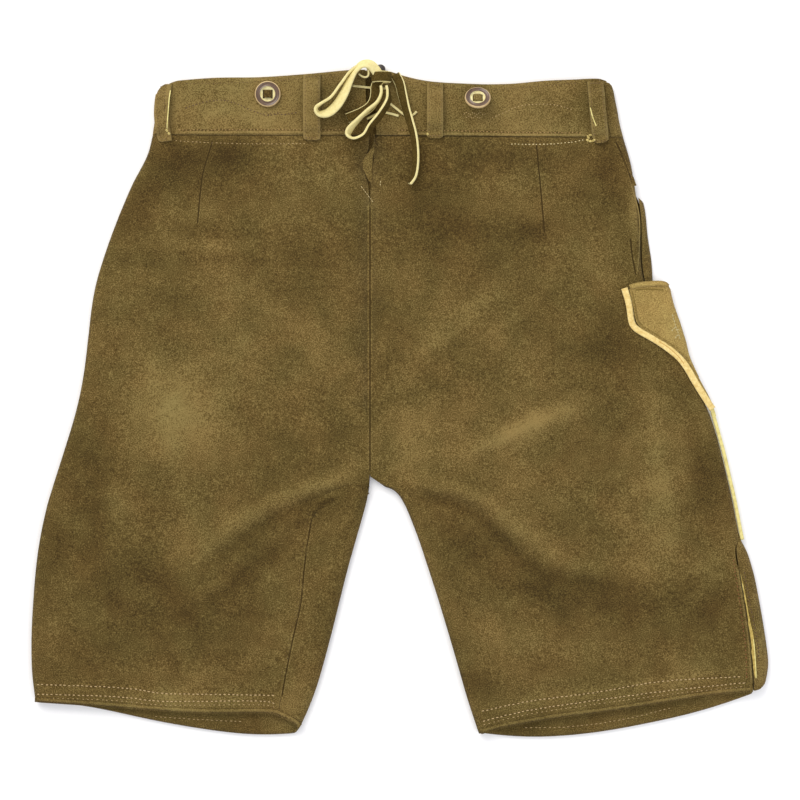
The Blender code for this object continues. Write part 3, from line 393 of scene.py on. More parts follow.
def polished_horn(name, dark, light, rough):
    """Polished horn: brown-grey with long paler streaks, a soft shine under a thin gloss."""
    made = bpy.data.materials.new(name)
    made.use_nodes = True
    tree = made.node_tree
    shader = tree.nodes["Principled BSDF"]
    place = add_node(tree, "ShaderNodeTexCoord").outputs["Object"]
    long = add_node(tree, "ShaderNodeMapping", {"Vector": place, "Scale": (1.0, 0.3, 1.0)})
    noise = add_node(
        tree, "ShaderNodeTexNoise", {"Vector": long.outputs[0], "Scale": 1 / (3.5 * MM), "Detail": 3.0}
    )
    colour = add_node(
        tree, "ShaderNodeMix", {0: noise.outputs["Fac"], 6: linear(dark), 7: linear(light)}, data_type="RGBA"
    )
    tree.links.new(colour.outputs[2], shader.inputs["Base Color"])
    shader.inputs["Roughness"].default_value = rough
    shader.inputs["IOR"].default_value = 1.54
    return made


brown_horn = polished_horn("polished_horn", "#3b2b20", "#71563f", 0.3)
for name in ("flap_button_left", "flap_button_right"):
    dress(shell(name, 1, folded=False), brown_horn)
dark_cap = polished_horn("dark_stud_cap", "#1c1714", "#453a33", 0.4)
dress(shell("waist_stud", 1, folded=False), dark_cap)

# ----------------------------------------------------------------------------------------------------
# Braces' buttons: dished rings of horn turned on a lathe, brown-grey with a paler rim where the turning has
# cut into the core. A square tab of suede comes up through two slots and holds each. The right one tips
# towards the waist.
BUTTON_TIP = {"left": (0.0, 0.0), "right": (30.0, -2.0)}  # degrees, and how far it has slid down its tab
BUTTON_R = 11.6
BUTTON_STEPS = 64
BUTTON_RIM = 10.7  # the pale rim is outside this radius
BUTTON_EYE = 6.8  # the pale eye is inside this one
BUTTON_PROFILE = (
    (0, 0), (9.8, 0), (11.0, 0.5), (11.6, 1.3), (11.6, 2.3), (11.25, 2.9), (10.7, 3.2), (10.3, 3.1),
    (9.8, 2.7),
    (8.8, 2.35), (7.8, 2.4), (7.2, 2.85), (6.9, 2.95), (6.6, 2.7), (6.45, 2.0), (5.9, 1.85), (0, 1.8),
)
SLOT_NEAR = 3.0
SLOT_FAR = 4.5
SLOT_LONG = 8.0
pale_horn = polished_horn("pale_horn_rim", "#a8895a", "#d8bf8a", 0.35)
pale_eye = cut_leather("leather_washer", "#cbbd82", "#efe6b0")
for half, (tip, slid) in BUTTON_TIP.items():
    low, high = (Vector(corner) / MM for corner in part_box("brace_button_" + half))
    centre = (low + high) / 2
    ring = bmesh.new()
    line = [ring.verts.new((r, 0, z)) for r, z in BUTTON_PROFILE]
    edges = [ring.edges.new(pair) for pair in zip(line, line[1:])]
    bmesh.ops.spin(
        ring, geom=line + edges, axis=(0, 0, 1), cent=(0, 0, 0), angle=math.tau, steps=BUTTON_STEPS
    )
    bmesh.ops.remove_doubles(ring, verts=ring.verts, dist=0.01)
    bmesh.ops.recalc_face_normals(ring, faces=ring.faces)
    mesh = bpy.data.meshes.new("brace_button_" + half)
    ring.to_mesh(mesh)
    ring.free()
    button = bpy.data.objects.new("brace_button_" + half + "_turned", mesh)
    bpy.context.scene.collection.objects.link(button)
    cutters = []
    for side in (-1, 1):
        slot = bmesh.new()
        bmesh.ops.create_cube(slot, size=1.0)
        bmesh.ops.scale(slot, vec=(SLOT_FAR - SLOT_NEAR, SLOT_LONG, 9.0), verts=slot.verts)
        bmesh.ops.translate(slot, vec=(side * (SLOT_FAR + SLOT_NEAR) / 2, 0, 1.5), verts=slot.verts)
        mesh = bpy.data.meshes.new("slot_cutter")
        slot.to_mesh(mesh)
        slot.free()
        cutters.append(bpy.data.objects.new("slot_cutter", mesh))
        bpy.context.scene.collection.objects.link(cutters[-1])
        cut = button.modifiers.new("slot", "BOOLEAN")
        cut.operation = "DIFFERENCE"
        cut.object = cutters[-1]
    seen = button.evaluated_get(bpy.context.evaluated_depsgraph_get())
    button.data = bpy.data.meshes.new_from_object(seen)
    button.modifiers.clear()
    for cutter in cutters:
        bpy.data.objects.remove(cutter)
    dress(button, brown_horn)
    button.data.materials.append(pale_horn)
    button.data.materials.append(pale_eye)
    for face in button.data.polygons:
        out = math.hypot(face.center.x, face.center.y)
        face.material_index = 1 if out > BUTTON_RIM else 2 if out < BUTTON_EYE else 0
    foot = Vector((centre.x, centre.y + slid, low.z + BUTTON_R * math.sin(math.radians(tip))))
    button.data.transform(
        Matrix.Scale(MM, 4) @ Matrix.Translation(foot) @ Matrix.Rotation(math.radians(-tip), 4, "X")
    )
    button.data.shade_smooth()
    button.data.set_sharp_from_angle(angle=math.radians(40))
    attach(button, "root")
    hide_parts("brace_button_" + half)
TAB_NARROW = 0.72  # the tab is drawn in between the slots
for half, turn, slid, lift, lighter in (("left", 0, 0, 0, -0.7), ("right", -13, -1.4, 2.4, 0.9)):
    tab = dress(shell("button_tab_" + half, 2, folded=False, lighter=lighter), olive_suede)
    low, high = (Vector(corner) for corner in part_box("button_tab_" + half))
    centre = (low + high) / 2
    tab.data.transform(
        Matrix.Translation(centre + Vector((0, slid, lift)) * MM)
        @ Matrix.Rotation(math.radians(turn), 4, "X")
        @ Matrix.Diagonal((TAB_NARROW, 1, 1, 1)) @ Matrix.Translation(-centre)
    )

# ----------------------------------------------------------------------------------------------------
# Seams, darts and turned edges: where two layers are sewn together the suede stands up either side of the
# line, and the line itself is a furrow, painted dark as its shade, with the raised sides painted a little
# lighter. Each is a low closed strip that follows the cloth.
def smooth_route(route, step):
    """Points about this far apart along a smooth curve through a route's own points."""
    dense = []
    ends = [route[0], *route, route[-1]]
    for a, b, c, d in zip(ends, ends[1:], ends[2:], ends[3:]):
        for k in range(16):
            t = k / 16
            dense.append([
                0.5 * (
                    2 * q + (r - p) * t + (2 * p - 5 * q + 4 * r - s) * t * t + (3 * q - p - 3 * r + s) * t**3
                )
                for p, q, r, s in zip(a, b, c, d)
            ])
    dense.append(list(route[-1]))
    dense = np.array(dense, float)
    reach = min(3, dense.shape[1])
    lengths = np.concatenate([[0.0], np.cumsum(np.linalg.norm(np.diff(dense[:, :reach], axis=0), axis=1))])
    wanted = np.linspace(0, lengths[-1], max(2, round(lengths[-1] / step) + 1))
    return np.stack([np.interp(wanted, lengths, column) for column in dense.T], axis=1)


def top_of(pieces):
    """A search tree of these pieces' faces."""
    points, faces = [], []
    for piece in pieces:
        skip = len(points)
        points += [v.co for v in piece.data.vertices]
        faces += [[k + skip for k in face.vertices] for face in piece.data.polygons]
    return BVHTree.FromPolygons(points, faces)


def height_at(tree, x, y, last=0.0):
    """The height of the cloth at a place, as seen from above, or the last height where there is no cloth."""
    hit = tree.ray_cast(Vector((x, y, 100.0)) * MM, Vector((0, 0, -1)))[0]
    return hit.z / MM if hit else last


def new_piece(name, points, faces, material, nap=None):
    """A mesh piece from points in millimetres."""
    mesh = bpy.data.meshes.new(name)
    mesh.from_pydata([Vector(p) * MM for p in points], [], faces)
    mesh.shade_smooth()
    mesh.set_sharp_from_angle(angle=math.radians(60))
    if nap is not None:
        mesh.attributes.new("nap", "FLOAT", "POINT").data.foreach_set("value", nap)
    piece = bpy.data.objects.new(name, mesh)
    bpy.context.scene.collection.objects.link(piece)
    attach(piece, "root")
    return dress(piece, material)


def draped(name, tree, routes, profile, material, step=2.0, taper=4.0, lighter=0.0):
    """Low strips that follow the cloth. profile is (across, height, shade of the nap with its painted light
    and shade) from left to right, and both its ends are sunk in the cloth. A third number in a route's points
    is a share of the width there."""
    points, faces, nap = [], [], []
    columns = len(profile)
    for route in routes:
        line = smooth_route(route, step)
        start = len(points)
        ground = max(height_at(tree, *place[:2]) for place in line)
        for i, place in enumerate(line):
            way = line[min(i + 1, len(line) - 1)][:2] - line[max(i - 1, 0)][:2]
            across = np.array((way[1], -way[0])) / np.linalg.norm(way)
            rise = min(1.0, (i + 0.2) * step / taper, (len(line) - 0.8 - i) * step / taper)
            wide = place[2] if len(place) > 2 else 1.0
            ground = height_at(tree, *place[:2], ground)
            for side, height, shade in profile:
                x, y = place[:2] + across * side * wide
                level = height * rise - 0.3 * (1 - rise) if height > 0 else height
                points.append((x, y, height_at(tree, x, y, ground) + level))
                nap.append(shade * rise)
        for i in range(len(line) - 1):
            for k in range(columns):
                a, b = start + i * columns + k, start + i * columns + (k + 1) % columns
                faces.append((a, b, b + columns, a + columns))
        last = start + (len(line) - 1) * columns
        faces += [tuple(start + k for k in reversed(range(columns))), tuple(last + k for k in range(columns))]
    nap = np.array(nap) + nap_shade(np.array(points)[:, :2]) + lighter
    return new_piece(name, points, faces, material, nap)


FURROW = (  # a seam pressed open; its line painted dark as shade, its raised sides a little lighter
    (-3.0, -0.25, 0.0), (-1.9, 0.16, 0.15), (-0.8, 0.34, 0.30), (-0.35, 0.05, -2.2),
    (0.35, 0.05, -2.2), (0.8, 0.34, 0.30), (1.9, 0.16, 0.15), (3.0, -0.25, 0.0),
)
DART = (  # a dart, pressed to one side; its fold painted dark as shade, its raised side a little lighter
    (-2.4, -0.25, 0.0), (-1.2, 0.22, 0.25), (-0.6, 0.32, 0.1), (-0.4, 0.05, -2.8), (0.5, 0.05, -2.8),
    (1.4, -0.25, 0.0),
)
SOFT_VALLEY = (  # a seam under a fold, painted lighter on its left and darker down its middle and right, as the fold's light and shade
    (-7.0, -0.25, 0.0), (-4.0, 0.30, 0.25), (0.0, 0.42, -0.9), (4.0, 0.30, -0.35), (7.0, -0.25, 0.0),
)
upper = top_of(cloth)
draped("centre_back_seam", upper, [
    [(-27, 178), (-27, 90), (-27, 0), (-27, -66)],
], FURROW, olive_suede)
draped("darts", upper, [
    [(-168.2, 237), (-171, 226), (-176.6, 208), (-179.5, 190), (-182.6, 157)],
    [(122.4, 235.5), (124.2, 217), (127.4, 183), (130.5, 149)],
], DART, olive_suede)
OVERLAP_STEP = 1.2
OVERLAP = (  # the left half's edge lies over the foot of the gap: its left and right side at each height
    (-24.6, -21.5, 240), (-25.0, -21.9, 232), (-28.6, -22.6, 224.5), (-32.2, -23.6, 220),
    (-34.2, -24.0, 215.5),
    (-33.8, -24.2, 209), (-30.8, -24.4, 202), (-27.6, -24.9, 196.5), (-26.2, -25.2, 193.5),
)
OVERLAP_NAP_AND_SHADE = (-2.0, -2.0, -1.0, 0.3, 0.25, 0.2, -1.6, -2.5, -2.5)  # painted dark at its edges as the shade under them
points, faces, nap = [], [], []
for left, right, y in smooth_route(OVERLAP, OVERLAP_STEP):
    edge = min(0.45, (right - left) / 6)
    low, high = height_at(upper, left - 1.2, y), height_at(upper, right + 1.2, y)
    points += [
        (left, y, low - 0.9), (left, y, low - 0.25), (left + edge, y, low + 0.05),
        (left + 2 * edge, y, low + 0.3), ((left + right) / 2, y, (low + high) / 2 + 0.4),
        (right - 2 * edge, y, high + 0.25), (right - edge, y, high + 0.05), (right, y, high - 0.25),
        (right, y, high - 0.9),
    ]
    nap += OVERLAP_NAP_AND_SHADE
sides = len(OVERLAP_NAP_AND_SHADE)
for i in range(len(points) // sides - 1):
    for k in range(sides):
        a, b = i * sides + k, i * sides + (k + 1) % sides
        faces.append((a, b, b + sides, a + sides))
faces += [tuple(reversed(range(sides))), tuple(len(points) - sides + k for k in range(sides))]
new_piece("gap_overlap", points, faces, olive_suede, nap)
draped("fork_seam_left", upper, [
    [(-30, -77), (-50, -84), (-66, -91), (-76, -98)],
], SOFT_VALLEY, olive_suede)
draped("inside_leg_seam_left", upper, [
    [(-77, -96), (-83, -126), (-86.5, -154), (-89.5, -183), (-97, -217), (-103.5, -250), (-106.5, -268)],
], FURROW, olive_suede)
HEM_ROLL = (  # the hem's turned edge, round, painted lighter along its top as a highlight and darker inside and under it as painted shadow
    (-2.6, -0.2, -0.2), (-1.6, 0.15, -0.7), (-0.9, 0.7, 0.2), (0.0, 1.1, 0.6), (0.9, 1.1, 0.6),
    (1.7, 0.7, 0.1),
    (2.3, -0.4, -1.6),
)
back_left, back_right, _, front_right = cloth[:4]
draped("hem_roll_left", top_of([back_left]), [
    [(-89.8, -292.2), (-94.0, -288.2), (-105.6, -282.0), (-120.3, -278.4), (-185.0, -278.3), (-268.6, -272.3),
     (-328.5, -268.2)],
], HEM_ROLL, olive_suede)
draped("hem_roll_right", top_of([back_right]), [
    [(317.2, -259.0), (276.6, -262.6), (199.3, -275.1), (135.0, -283.8), (89.0, -292.3), (72.4, -297.4)],
], HEM_ROLL, olive_suede)
draped("hip_seam_right", upper, [
    [(192.6, 236), (197.2, 226), (202.6, 213), (206.4, 203), (210, 193)],
], FURROW, olive_suede, step=1.5)

# ----------------------------------------------------------------------------------------------------
# Stitching: waxed thread, sewn by machine at about four millimetres a stitch, in pale tan where it is
# decorative and in brown where it matches. Each stitch is a small lens of thread drawn down at both ends.
def sewing_thread(name, colour):
    """Waxed thread: a soft low shine on a plain dyed colour."""
    made = bpy.data.materials.new(name)
    made.use_nodes = True
    tree = made.node_tree
    shader = tree.nodes["Principled BSDF"]
    place = add_node(tree, "ShaderNodeTexCoord").outputs["Object"]
    noise = add_node(tree, "ShaderNodeTexNoise", {"Vector": place, "Scale": 1 / (6.0 * MM), "Detail": 2.0})
    worn = [c * 0.55 for c in linear(colour)[:3]] + [1.0]
    mixed = add_node(
        tree, "ShaderNodeMix", {0: noise.outputs["Fac"], 6: worn, 7: linear(colour)}, data_type="RGBA"
    )
    tree.links.new(mixed.outputs[2], shader.inputs["Base Color"])
    shader.inputs["Roughness"].default_value = 0.6
    shader.inputs["IOR"].default_value = 1.5
    return made


def stitches(name, tree, routes, material, long=2.6, gap=1.4, wide=1.0, proud=0.35, seed=1):
    """Rows of stitches that follow the cloth."""
    chance = random.Random(seed)
    points, faces = [], []
    for route in routes:
        line = smooth_route(route, 0.5)
        count = int((len(line) - 1) * 0.5 / (long + gap))
        for k in range(count):
            middle = (k + 0.5 + chance.uniform(-0.08, 0.08)) * (long + gap)
            ends = [(middle + s * long / 2) / 0.5 for s in (-1, 1)]
            low, high = [line[min(len(line) - 1, max(0, round(e)))][:2] for e in ends]
            way = high - low
            across = np.array((way[1], -way[0])) / max(1e-6, np.linalg.norm(way)) * wide / 2
            drift = across * chance.uniform(-0.5, 0.5)
            start = len(points)
            points.append((*low, height_at(tree, *low) - 0.05))
            points.append((*high, height_at(tree, *high) - 0.05))
            for share, full in ((0.2, 0.8), (0.5, 1.0), (0.8, 0.8)):
                centre = low + (high - low) * share + drift
                ground = height_at(tree, *centre)
                for turn, up in ((1, 0.06), (0, proud), (-1, 0.06), (0, -0.2)):
                    points.append((*(centre + across * turn * full), ground + up * full))
            for a in range(4):
                b = (a + 1) % 4
                faces += [(start, start + 2 + a, start + 2 + b), (start + 1, start + 10 + b, start + 10 + a)]
                for ring in (start + 2, start + 6):
                    faces.append((ring + a, ring + 4 + a, ring + 4 + b, ring + b))
    return new_piece(name, points, faces, material)


tan_thread = sewing_thread("waxed_tan_thread", "#cfb07a")
brown_thread = sewing_thread("waxed_brown_thread", "#57390f")
dull_thread = sewing_thread("waxed_dull_thread", "#6b5027")
pale_thread = sewing_thread("waxed_pale_thread", "#e2cc92")
PRESSED = (  # the furrow under a row, painted dark as its shade
    (-1.3, -0.2, 0.0), (-0.5, 0.05, -0.5), (0.5, 0.05, -0.5), (1.3, -0.2, 0.0),
)
HEM_ROWS = (
    ((-327.6, -254.7), (-250.2, -257.9), (-213.3, -262.8), (-176.4, -263.7), (-112.0, -264.6)),
    ((-327.0, -263.7), (-287.1, -264.6), (-250.2, -266.4), (-213.3, -270), (-176.4, -270), (-121.5, -270),
     (-110, -275)),
    ((72.9, -279), (116.1, -270), (176.4, -261.9), (236.7, -252), (308.5, -247.7)),
    ((73.8, -288), (116.1, -278.1), (176.4, -269.1), (236.7, -261), (277.2, -256.5), (313, -253)),
)
stitches("hem_stitches", upper, HEM_ROWS, tan_thread, wide=0.85, proud=0.3, seed=2)
draped("hem_rows", upper, HEM_ROWS, PRESSED, olive_suede, step=3.0)
stitches("front_hem_stitches", upper, [
    ((112, -294.6), (150, -294.0), (197.1, -288), (246.6, -276.3)),
    ((-222, -284.6), (-180, -287.4), (-140, -289.2)),
], tan_thread, long=2.4, gap=1.8, wide=0.6, seed=3)
stitches("hem_stitches_low", upper, [[(x, y - 3.4) for x, y in row] for row in HEM_ROWS[1::2]], tan_thread,
         long=1.8, gap=2.6, wide=0.55, seed=21)
BAND_ROWS = (
    ((-200, 243.6), (-150, 243.9), (-90, 244.0), (-46, 243.9)),
    ((-3, 243.6), (50, 243.2), (110, 241.6), (166, 241.2)),
    ((-193.5, 285.2), (-144, 286.5), (-92, 289.4), (-50, 292.6)),
    ((0, 287), (36, 282.2), (81, 280.4), (126, 283.2), (162, 286.0)),
)
fawn_thread = sewing_thread("waxed_fawn_thread", "#b08c52")
stitches("band_stitches_low", upper, BAND_ROWS[:2], fawn_thread, long=1.7, gap=1.5, wide=0.8, seed=4)
stitches("band_stitches_top", upper, BAND_ROWS[2:], dull_thread, long=1.7, gap=1.7, wide=0.6, seed=20)
draped("band_rows", upper, BAND_ROWS[:2], PRESSED, olive_suede, step=3.0, lighter=0.3)
LIP = (  # a raised edge, lighter along its crest, with painted shade at its foot
    (-1.6, -0.2, 0.0), (-0.9, 0.3, 0.6), (0.0, 0.5, 0.8), (0.8, 0.3, 0.5), (1.3, -0.3, -0.4),
)
draped("band_edge", top_of(cloth[4:6]), [
    [(-203, 241.2), (-150, 241.6), (-90, 241.6), (-46, 241.4)],
    [(-3, 240.6), (50, 240.2), (110, 239.4), (168, 239.2)],
], LIP, olive_suede, step=3.0, lighter=0.5)
stitches("yoke_stitches_left", upper, [
    ((-203, 234.4), (-170, 232.4), (-120, 231.4), (-82, 232)),
], tan_thread, long=1.6, gap=2.0, wide=0.6, seed=5)
stitches("yoke_stitches_right", upper, [
    ((99, 231.4), (130, 231.1), (153, 232.8), (166.6, 235.4)),
], pale_thread, long=1.7, gap=1.5, wide=0.9, seed=6)
WAVES = (
    ((-193.5, 262.8), (-181.8, 267.3), (-170.1, 270), (-159.3, 270.5), (-149, 268.2), (-138.6, 263.7),
     (-129.6, 260.1), (-118.5, 256.9), (-109.8, 258.6), (-104.4, 257.6), (-90.9, 260.0)),
    ((81.9, 254.6), (94.5, 259.7), (104.4, 264.6), (118.8, 266.9), (135, 266.9), (147.6, 264.6),
    (158, 260.6)),
)
stitches("wave_stitches_left", upper, WAVES[:1], brown_thread, long=1.6, gap=1.6, wide=1.1, seed=7)
stitches("wave_stitches_right", upper, WAVES[1:], tan_thread, long=1.4, gap=1.8, wide=0.6, seed=8)
ZIGZAGS = [
    [(x, base + rise * (k % 2)) for k, x in enumerate(range(start, stop, 3))]
    for start, stop, base, rise in ((-124, -104, 257.2, 3.2), (57, 79, 257.4, 2.6), (59, 76, 254.4, 2.2))
]
stitches("zigzag_stitches", upper, ZIGZAGS[:1], brown_thread, long=1.6, gap=0.9, wide=0.7, seed=9)
stitches("zigzag_stitches_right", upper, ZIGZAGS[1:], tan_thread, long=1.6, gap=0.9, wide=0.5, seed=10)
stitches("gap_bar_tack", upper, [
    ((-35.1, 193.5), (-23.9, 178.7)), ((-17.6, 198.9), (-17.6, 192)),
], pale_thread, long=2.2, gap=0.4, wide=0.6, seed=11)
stitches("inside_leg_stitches", upper, [
    [(-82, -100), (-87, -130), (-90.5, -160), (-94, -190), (-101, -220), (-108, -256)],
], brown_thread, long=1.6, gap=2.2, wide=0.5, seed=12)

# ----------------------------------------------------------------------------------------------------
# Side opening on the right hip: the back panel's cut edge is turned in and topstitched, and the pocket
# facing shows in the gap. A filler strip of the same suede, deep in the gap, backs both; it is painted very
# dark as the gap's shade.
def strap_mesh(name, route, section, materials, lighter=0.0):
    """A closed strap along a route of x, y, z, turn and, where given, a share of its width. section is
    (across, up, material) for each corner, going anticlockwise as seen against the route's direction; a
    corner's material is that of the face that follows it."""
    points, faces, kinds = [], [], []
    sides = len(section)
    for i, (x, y, z, turn, *grow) in enumerate(route):
        wide = grow[0] if grow else 1.0
        before, after = Vector(route[max(0, i - 1)][:3]), Vector(route[min(len(route) - 1, i + 1)][:3])
        along = (after - before).normalized()
        across = Matrix.Rotation(math.radians(turn), 3, along) @ along.cross(Vector((0, 0, 1))).normalized()
        up = across.cross(along)
        points += [Vector((x, y, z)) + across * a * wide + up * b for a, b, _ in section]
    for i in range(len(route) - 1):
        for k, (_, _, kind) in enumerate(section):
            a, b = sides * i + k, sides * i + (k + 1) % sides
            faces.append((b, a, a + sides, b + sides))
            kinds.append(kind)
    last = sides * (len(route) - 1)
    faces += [tuple(range(sides)), tuple(last + k for k in reversed(range(sides)))]
    kinds += [1, 1]
    piece = new_piece(name, points, faces, materials[0], [lighter] * len(points))
    for material in materials[1:]:
        piece.data.materials.append(material)
    piece.data.polygons.foreach_set("material_index", [kind % len(materials) for kind in kinds])
    return piece


FILLER = (  # the inner layer at the foot of the opening, painted very dark as the gap's shade
    (208.7, 202), (208.9, 192), (211.2, 185), (214.4, 177), (218.1, 157), (218.2, 140), (217.8, 122),
    (221.5, 103),
)
FILLER_LEVEL = 2.4
strap_mesh("side_opening_shade_filler", smooth_route([(x, y, FILLER_LEVEL, 0) for x, y in FILLER], 2.0),
           [(-1.4, -1, 0), (1.4, -1, 0), (1.4, 1, 0), (-1.4, 1, 0)], (olive_suede,), lighter=-1.5)
CUT_EDGE = ((-0.6, -0.3, 0.0), (-0.45, 0.15, 0.0), (0.45, 0.15, 0.0), (0.6, -0.3, 0.0))  # a rubbed edge
draped("side_opening_edge", top_of([back_right]), [
    [(203.6, 208), (211.8, 181.6), (215.0, 167.4), (215.7, 154), (215.2, 136), (213.4, 118), (212.2, 110.7)],
], CUT_EDGE, olive_suede, lighter=1.1)
draped("side_opening_fold", top_of([back_right]), [
    [(207, 149), (208.4, 133.2), (210.4, 121.3), (212.4, 110.7)],
], FURROW, olive_suede, step=1.5)

# ----------------------------------------------------------------------------------------------------
# Knife pocket's trim: a turned and stitched hem along its mouth, a small sprig in chain stitch below it, and
# a crease in the welt where it bends.
pocket_top = top_of([pocket])
ROLL = (  # a turned edge, seen across it, with a painted highlight on its top and painted shade at both feet
    (-2.9, -0.3, -0.6), (-2.2, 0.7, 0.0), (-1.1, 1.4, 0.5), (0.4, 1.5, 0.5), (1.7, 0.9, 0.1),
    (2.4, -0.3, -0.4),
)
draped("knife_pocket_hem", pocket_top, [
    [(206.6, 101.6), (211, 103.2), (217, 104.2), (226, 105.0), (233, 105.2), (238.0, 104.4), (239.8, 102.6)],
], ROLL, pale_suede, step=1.0, taper=2.0)
# the pocket's row is painted darker still, as shade in its furrow
draped("knife_pocket_hem_row", pocket_top, [
    [(208.0, 99.4), (224, 100.4), (240.0, 99.6)],
], PRESSED, pale_suede, lighter=-1.0)
# the seam beside the welt, painted darker as the soft shade under the welt's edge
POCKET_SEAM = ((-1.3, -0.9, -0.9), (-1.1, 0.1, -1.1), (0.3, 0.12, -0.7), (1.6, -0.3, 0.0))
draped("knife_pocket_seam", pocket_top, [
    [(207.3, 101), (210.8, 86), (214.9, 70.0), (230.3, 59.0), (252.6, 44.0), (261.0, 32.8)],
], POCKET_SEAM, pale_suede, step=1.0)
sprig_thread = sewing_thread("pale_olive_thread", "#bdae7a")
SPRIG = (
    ((244.8, 78), (247.2, 69), (249.8, 61), (252.6, 54)), ((247.6, 66.4), (244.8, 64.4), (244.0, 61.6)),
    ((248.8, 64), (251.2, 64.8), (252.6, 66.6)), ((250.2, 59.6), (247.6, 57.8), (247.0, 55.2)),
)
stitches("knife_pocket_sprig", pocket_top, SPRIG, sprig_thread, long=2.4, gap=0.3,
         wide=0.9, proud=0.3, seed=14)
PLAIN = ((-1, -1, 0), (1, -1, 0), (1, 1, 0), (-1, 1, 0))  # a square section
strap_mesh("knife_pocket_tail", smooth_route([
    (257.8, 36.6, 8.4, 0, 1.0), (265.0, 24.0, 8.2, 0, 1.7), (270.4, 14.3, 8.0, 0, 1.6),
    (275.8, 5.4, 7.8, 0, 1.2),
    (280.4, -2.4, 7.6, 0, 0.5),
], 1.5), PLAIN, (pale_suede,), lighter=-0.3)
strap_mesh("welt_join", [(278.8, -3.0, 7.2, 0), (281.4, -8.6, 6.0, 0), (283.2, -14.0, 5.0, 0)],
           [(a * 1.7, b * 0.6, kind) for a, b, kind in PLAIN], (pale_core,))
# The welt's crease is painted a darker orange, as the shade in the crease.
welt_crease_shade = cut_leather("welt_crease_shade", "#b58c45", "#cfa862")
draped("piping_crease", top_of([piping]), [
    [(230, 55.0), (240, 48.8), (250, 40.0), (257, 30.6)],
], ((-0.8, -0.2, 0.0), (-0.2, 0.06, 0.0), (0.3, 0.06, 0.0), (0.8, -0.2, 0.0)), welt_crease_shade)

# ----------------------------------------------------------------------------------------------------
# Side vent: the outer seam is left open above the hem. The back panel's edge is rolled under and stitched in
# red-brown, the front panel's lap is stitched in brown, and the raw yellow edge of the lining leather shows
# between.
VENT = (  # the raw edge's middle line, and how wide it shows
    (304.4, -150, 0.8), (308.6, -169, 1.8), (312.2, -194, 3.4), (315.4, -211, 4.6), (317.4, -228, 3.8),
    (319.8, -250, 1.0),
)
STRIP = ((-0.5, -0.3, 0), (-0.48, 0.35, 0), (-0.3, 0.4, 0), (-0.1, 0.4, 0), (0.1, 0.4, 0), (0.3, 0.4, 0),
         (0.48, 0.35, 0), (0.5, -0.3, 0))
lap_top = top_of([front_right])
raw_edge = cut_leather("raw_leather_edge", "#8f7836", "#cbb25f")
draped("vent_raw_edge", lap_top, [VENT], STRIP, raw_edge)
draped("vent_raw_edge_light", lap_top, [
    [(x - wide * 0.42, y, 1.2) for x, y, wide in VENT[:5]],
    [(x + wide * 0.42, y, 0.8) for x, y, wide in VENT[3:]],
], [(a, b + 0.15 * (b > 0), 0) for a, b, _ in STRIP], pale_core)
draped("vent_roll", top_of([back_right]), [
    [(302.6, -148), (306.2, -170), (310.8, -200), (314.0, -228), (315.6, -254)],
], [(a * 0.55, b * 0.6, shade) for a, b, shade in ROLL], olive_suede, lighter=0.2)
red_brown_thread = sewing_thread("waxed_red_brown_thread", "#8a5226")
stitches("vent_stitches", top_of([back_right]), [
    [(299.4, -141.6), (304.0, -171.4), (308.0, -199), (310.6, -222), (311.6, -250)],
], red_brown_thread, long=1.8, gap=1.6, wide=0.8, seed=15)
stitches("vent_lap_stitches", lap_top, [
    [(309.4, -153), (315.6, -187.5), (321.4, -216.2), (322.6, -236)],
], brown_thread, long=2.0, gap=1.6, wide=1.1, seed=16)

# ----------------------------------------------------------------------------------------------------
# Belt loops' trim: two rows of brown stitching along each strap and a bar tack at each end. The cut edge
# shows pale on the sides that lean outwards.
loop_top = top_of(loops)
LOOP_LINES = {  # the middle of each strap, and half its width
    "side_left": (((-213.2, 284.0), (-214.0, 258.0), (-211.0, 235.0)), 5.2),
    "centre_left": (((-79.2, 291.6), (-79.2, 264.0), (-79.2, 236.6)), 7.75),
    "centre_right": (((31.5, 284.2), (31.5, 262.0), (31.5, 238.2)), 7.25),
    "side_right": (((175.7, 285.2), (177.0, 262.0), (180.4, 233.4)), 7.25),
}
rows, tacks = [], []
for (line, half), strap in zip(LOOP_LINES.values(), loops):
    # the rubbed edges are lighter
    for vertex, nap in zip(strap.data.vertices, strap.data.attributes["nap"].data):
        away = distance_to(line, np.array([vertex.co[:2]]) / MM)[0][0]
        nap.value += 0.9 * min(max((away - half + 1.8) / 1.2, 0), 1)
    rows += [[(x + side * (half - 1.9), y) for x, y in line] for side in (-1, 1)]
    for x, y in (line[0], line[-1]):
        tacks.append([(x - half + 1.6, y), (x + half - 1.6, y)])
stitches("loop_stitches", loop_top, rows, dull_thread, long=1.7, gap=1.5, wide=0.7, seed=17)
stitches("loop_bar_tacks", loop_top, tacks, dull_thread, long=2.0, gap=0.6, wide=0.8, seed=18)
LOOP_EDGE = ((-0.5, -0.4, 0.0), (-0.4, 0.2, 0.0), (0.4, 0.2, 0.0), (0.5, -0.4, 0.0))
draped("loop_cut_edges", loop_top, [
    [(-206.0, 279.5), (-207.4, 262), (-208.8, 243)], [(170.2, 263.5), (172.6, 254), (176.0, 245.5)],
], LOOP_EDGE, pale_core, step=1.5, taper=2.0)
stitches("loose_thread_ends", top_of(cloth + loops), [
    [(-209.4, 244), (-207.6, 240.2), (-204.6, 237.2)], [(166.8, 237.6), (170.0, 239.0), (175.0, 238.0)],
    [(167.4, 235.4), (171.2, 233.2), (175.6, 234.6)], [(168.6, 238.4), (171.8, 235.0)],
    [(24.3, 241.2), (24.6, 236.9)],
], sewing_thread("thick_pale_thread", "#e6cf7e"), long=3.0, gap=0.0, wide=2.2, proud=1.3, seed=19)

# ----------------------------------------------------------------------------------------------------
# Thong: one lace of cut leather, 9 mm wide, dark suede on its face and pale on its reverse and cut edges. It
# draws the lacing gap together and is tied in a bow, whose two loops and two free ends lie on the band.
THONG_WIDE = 9.0
THONG_THICK = 2.4
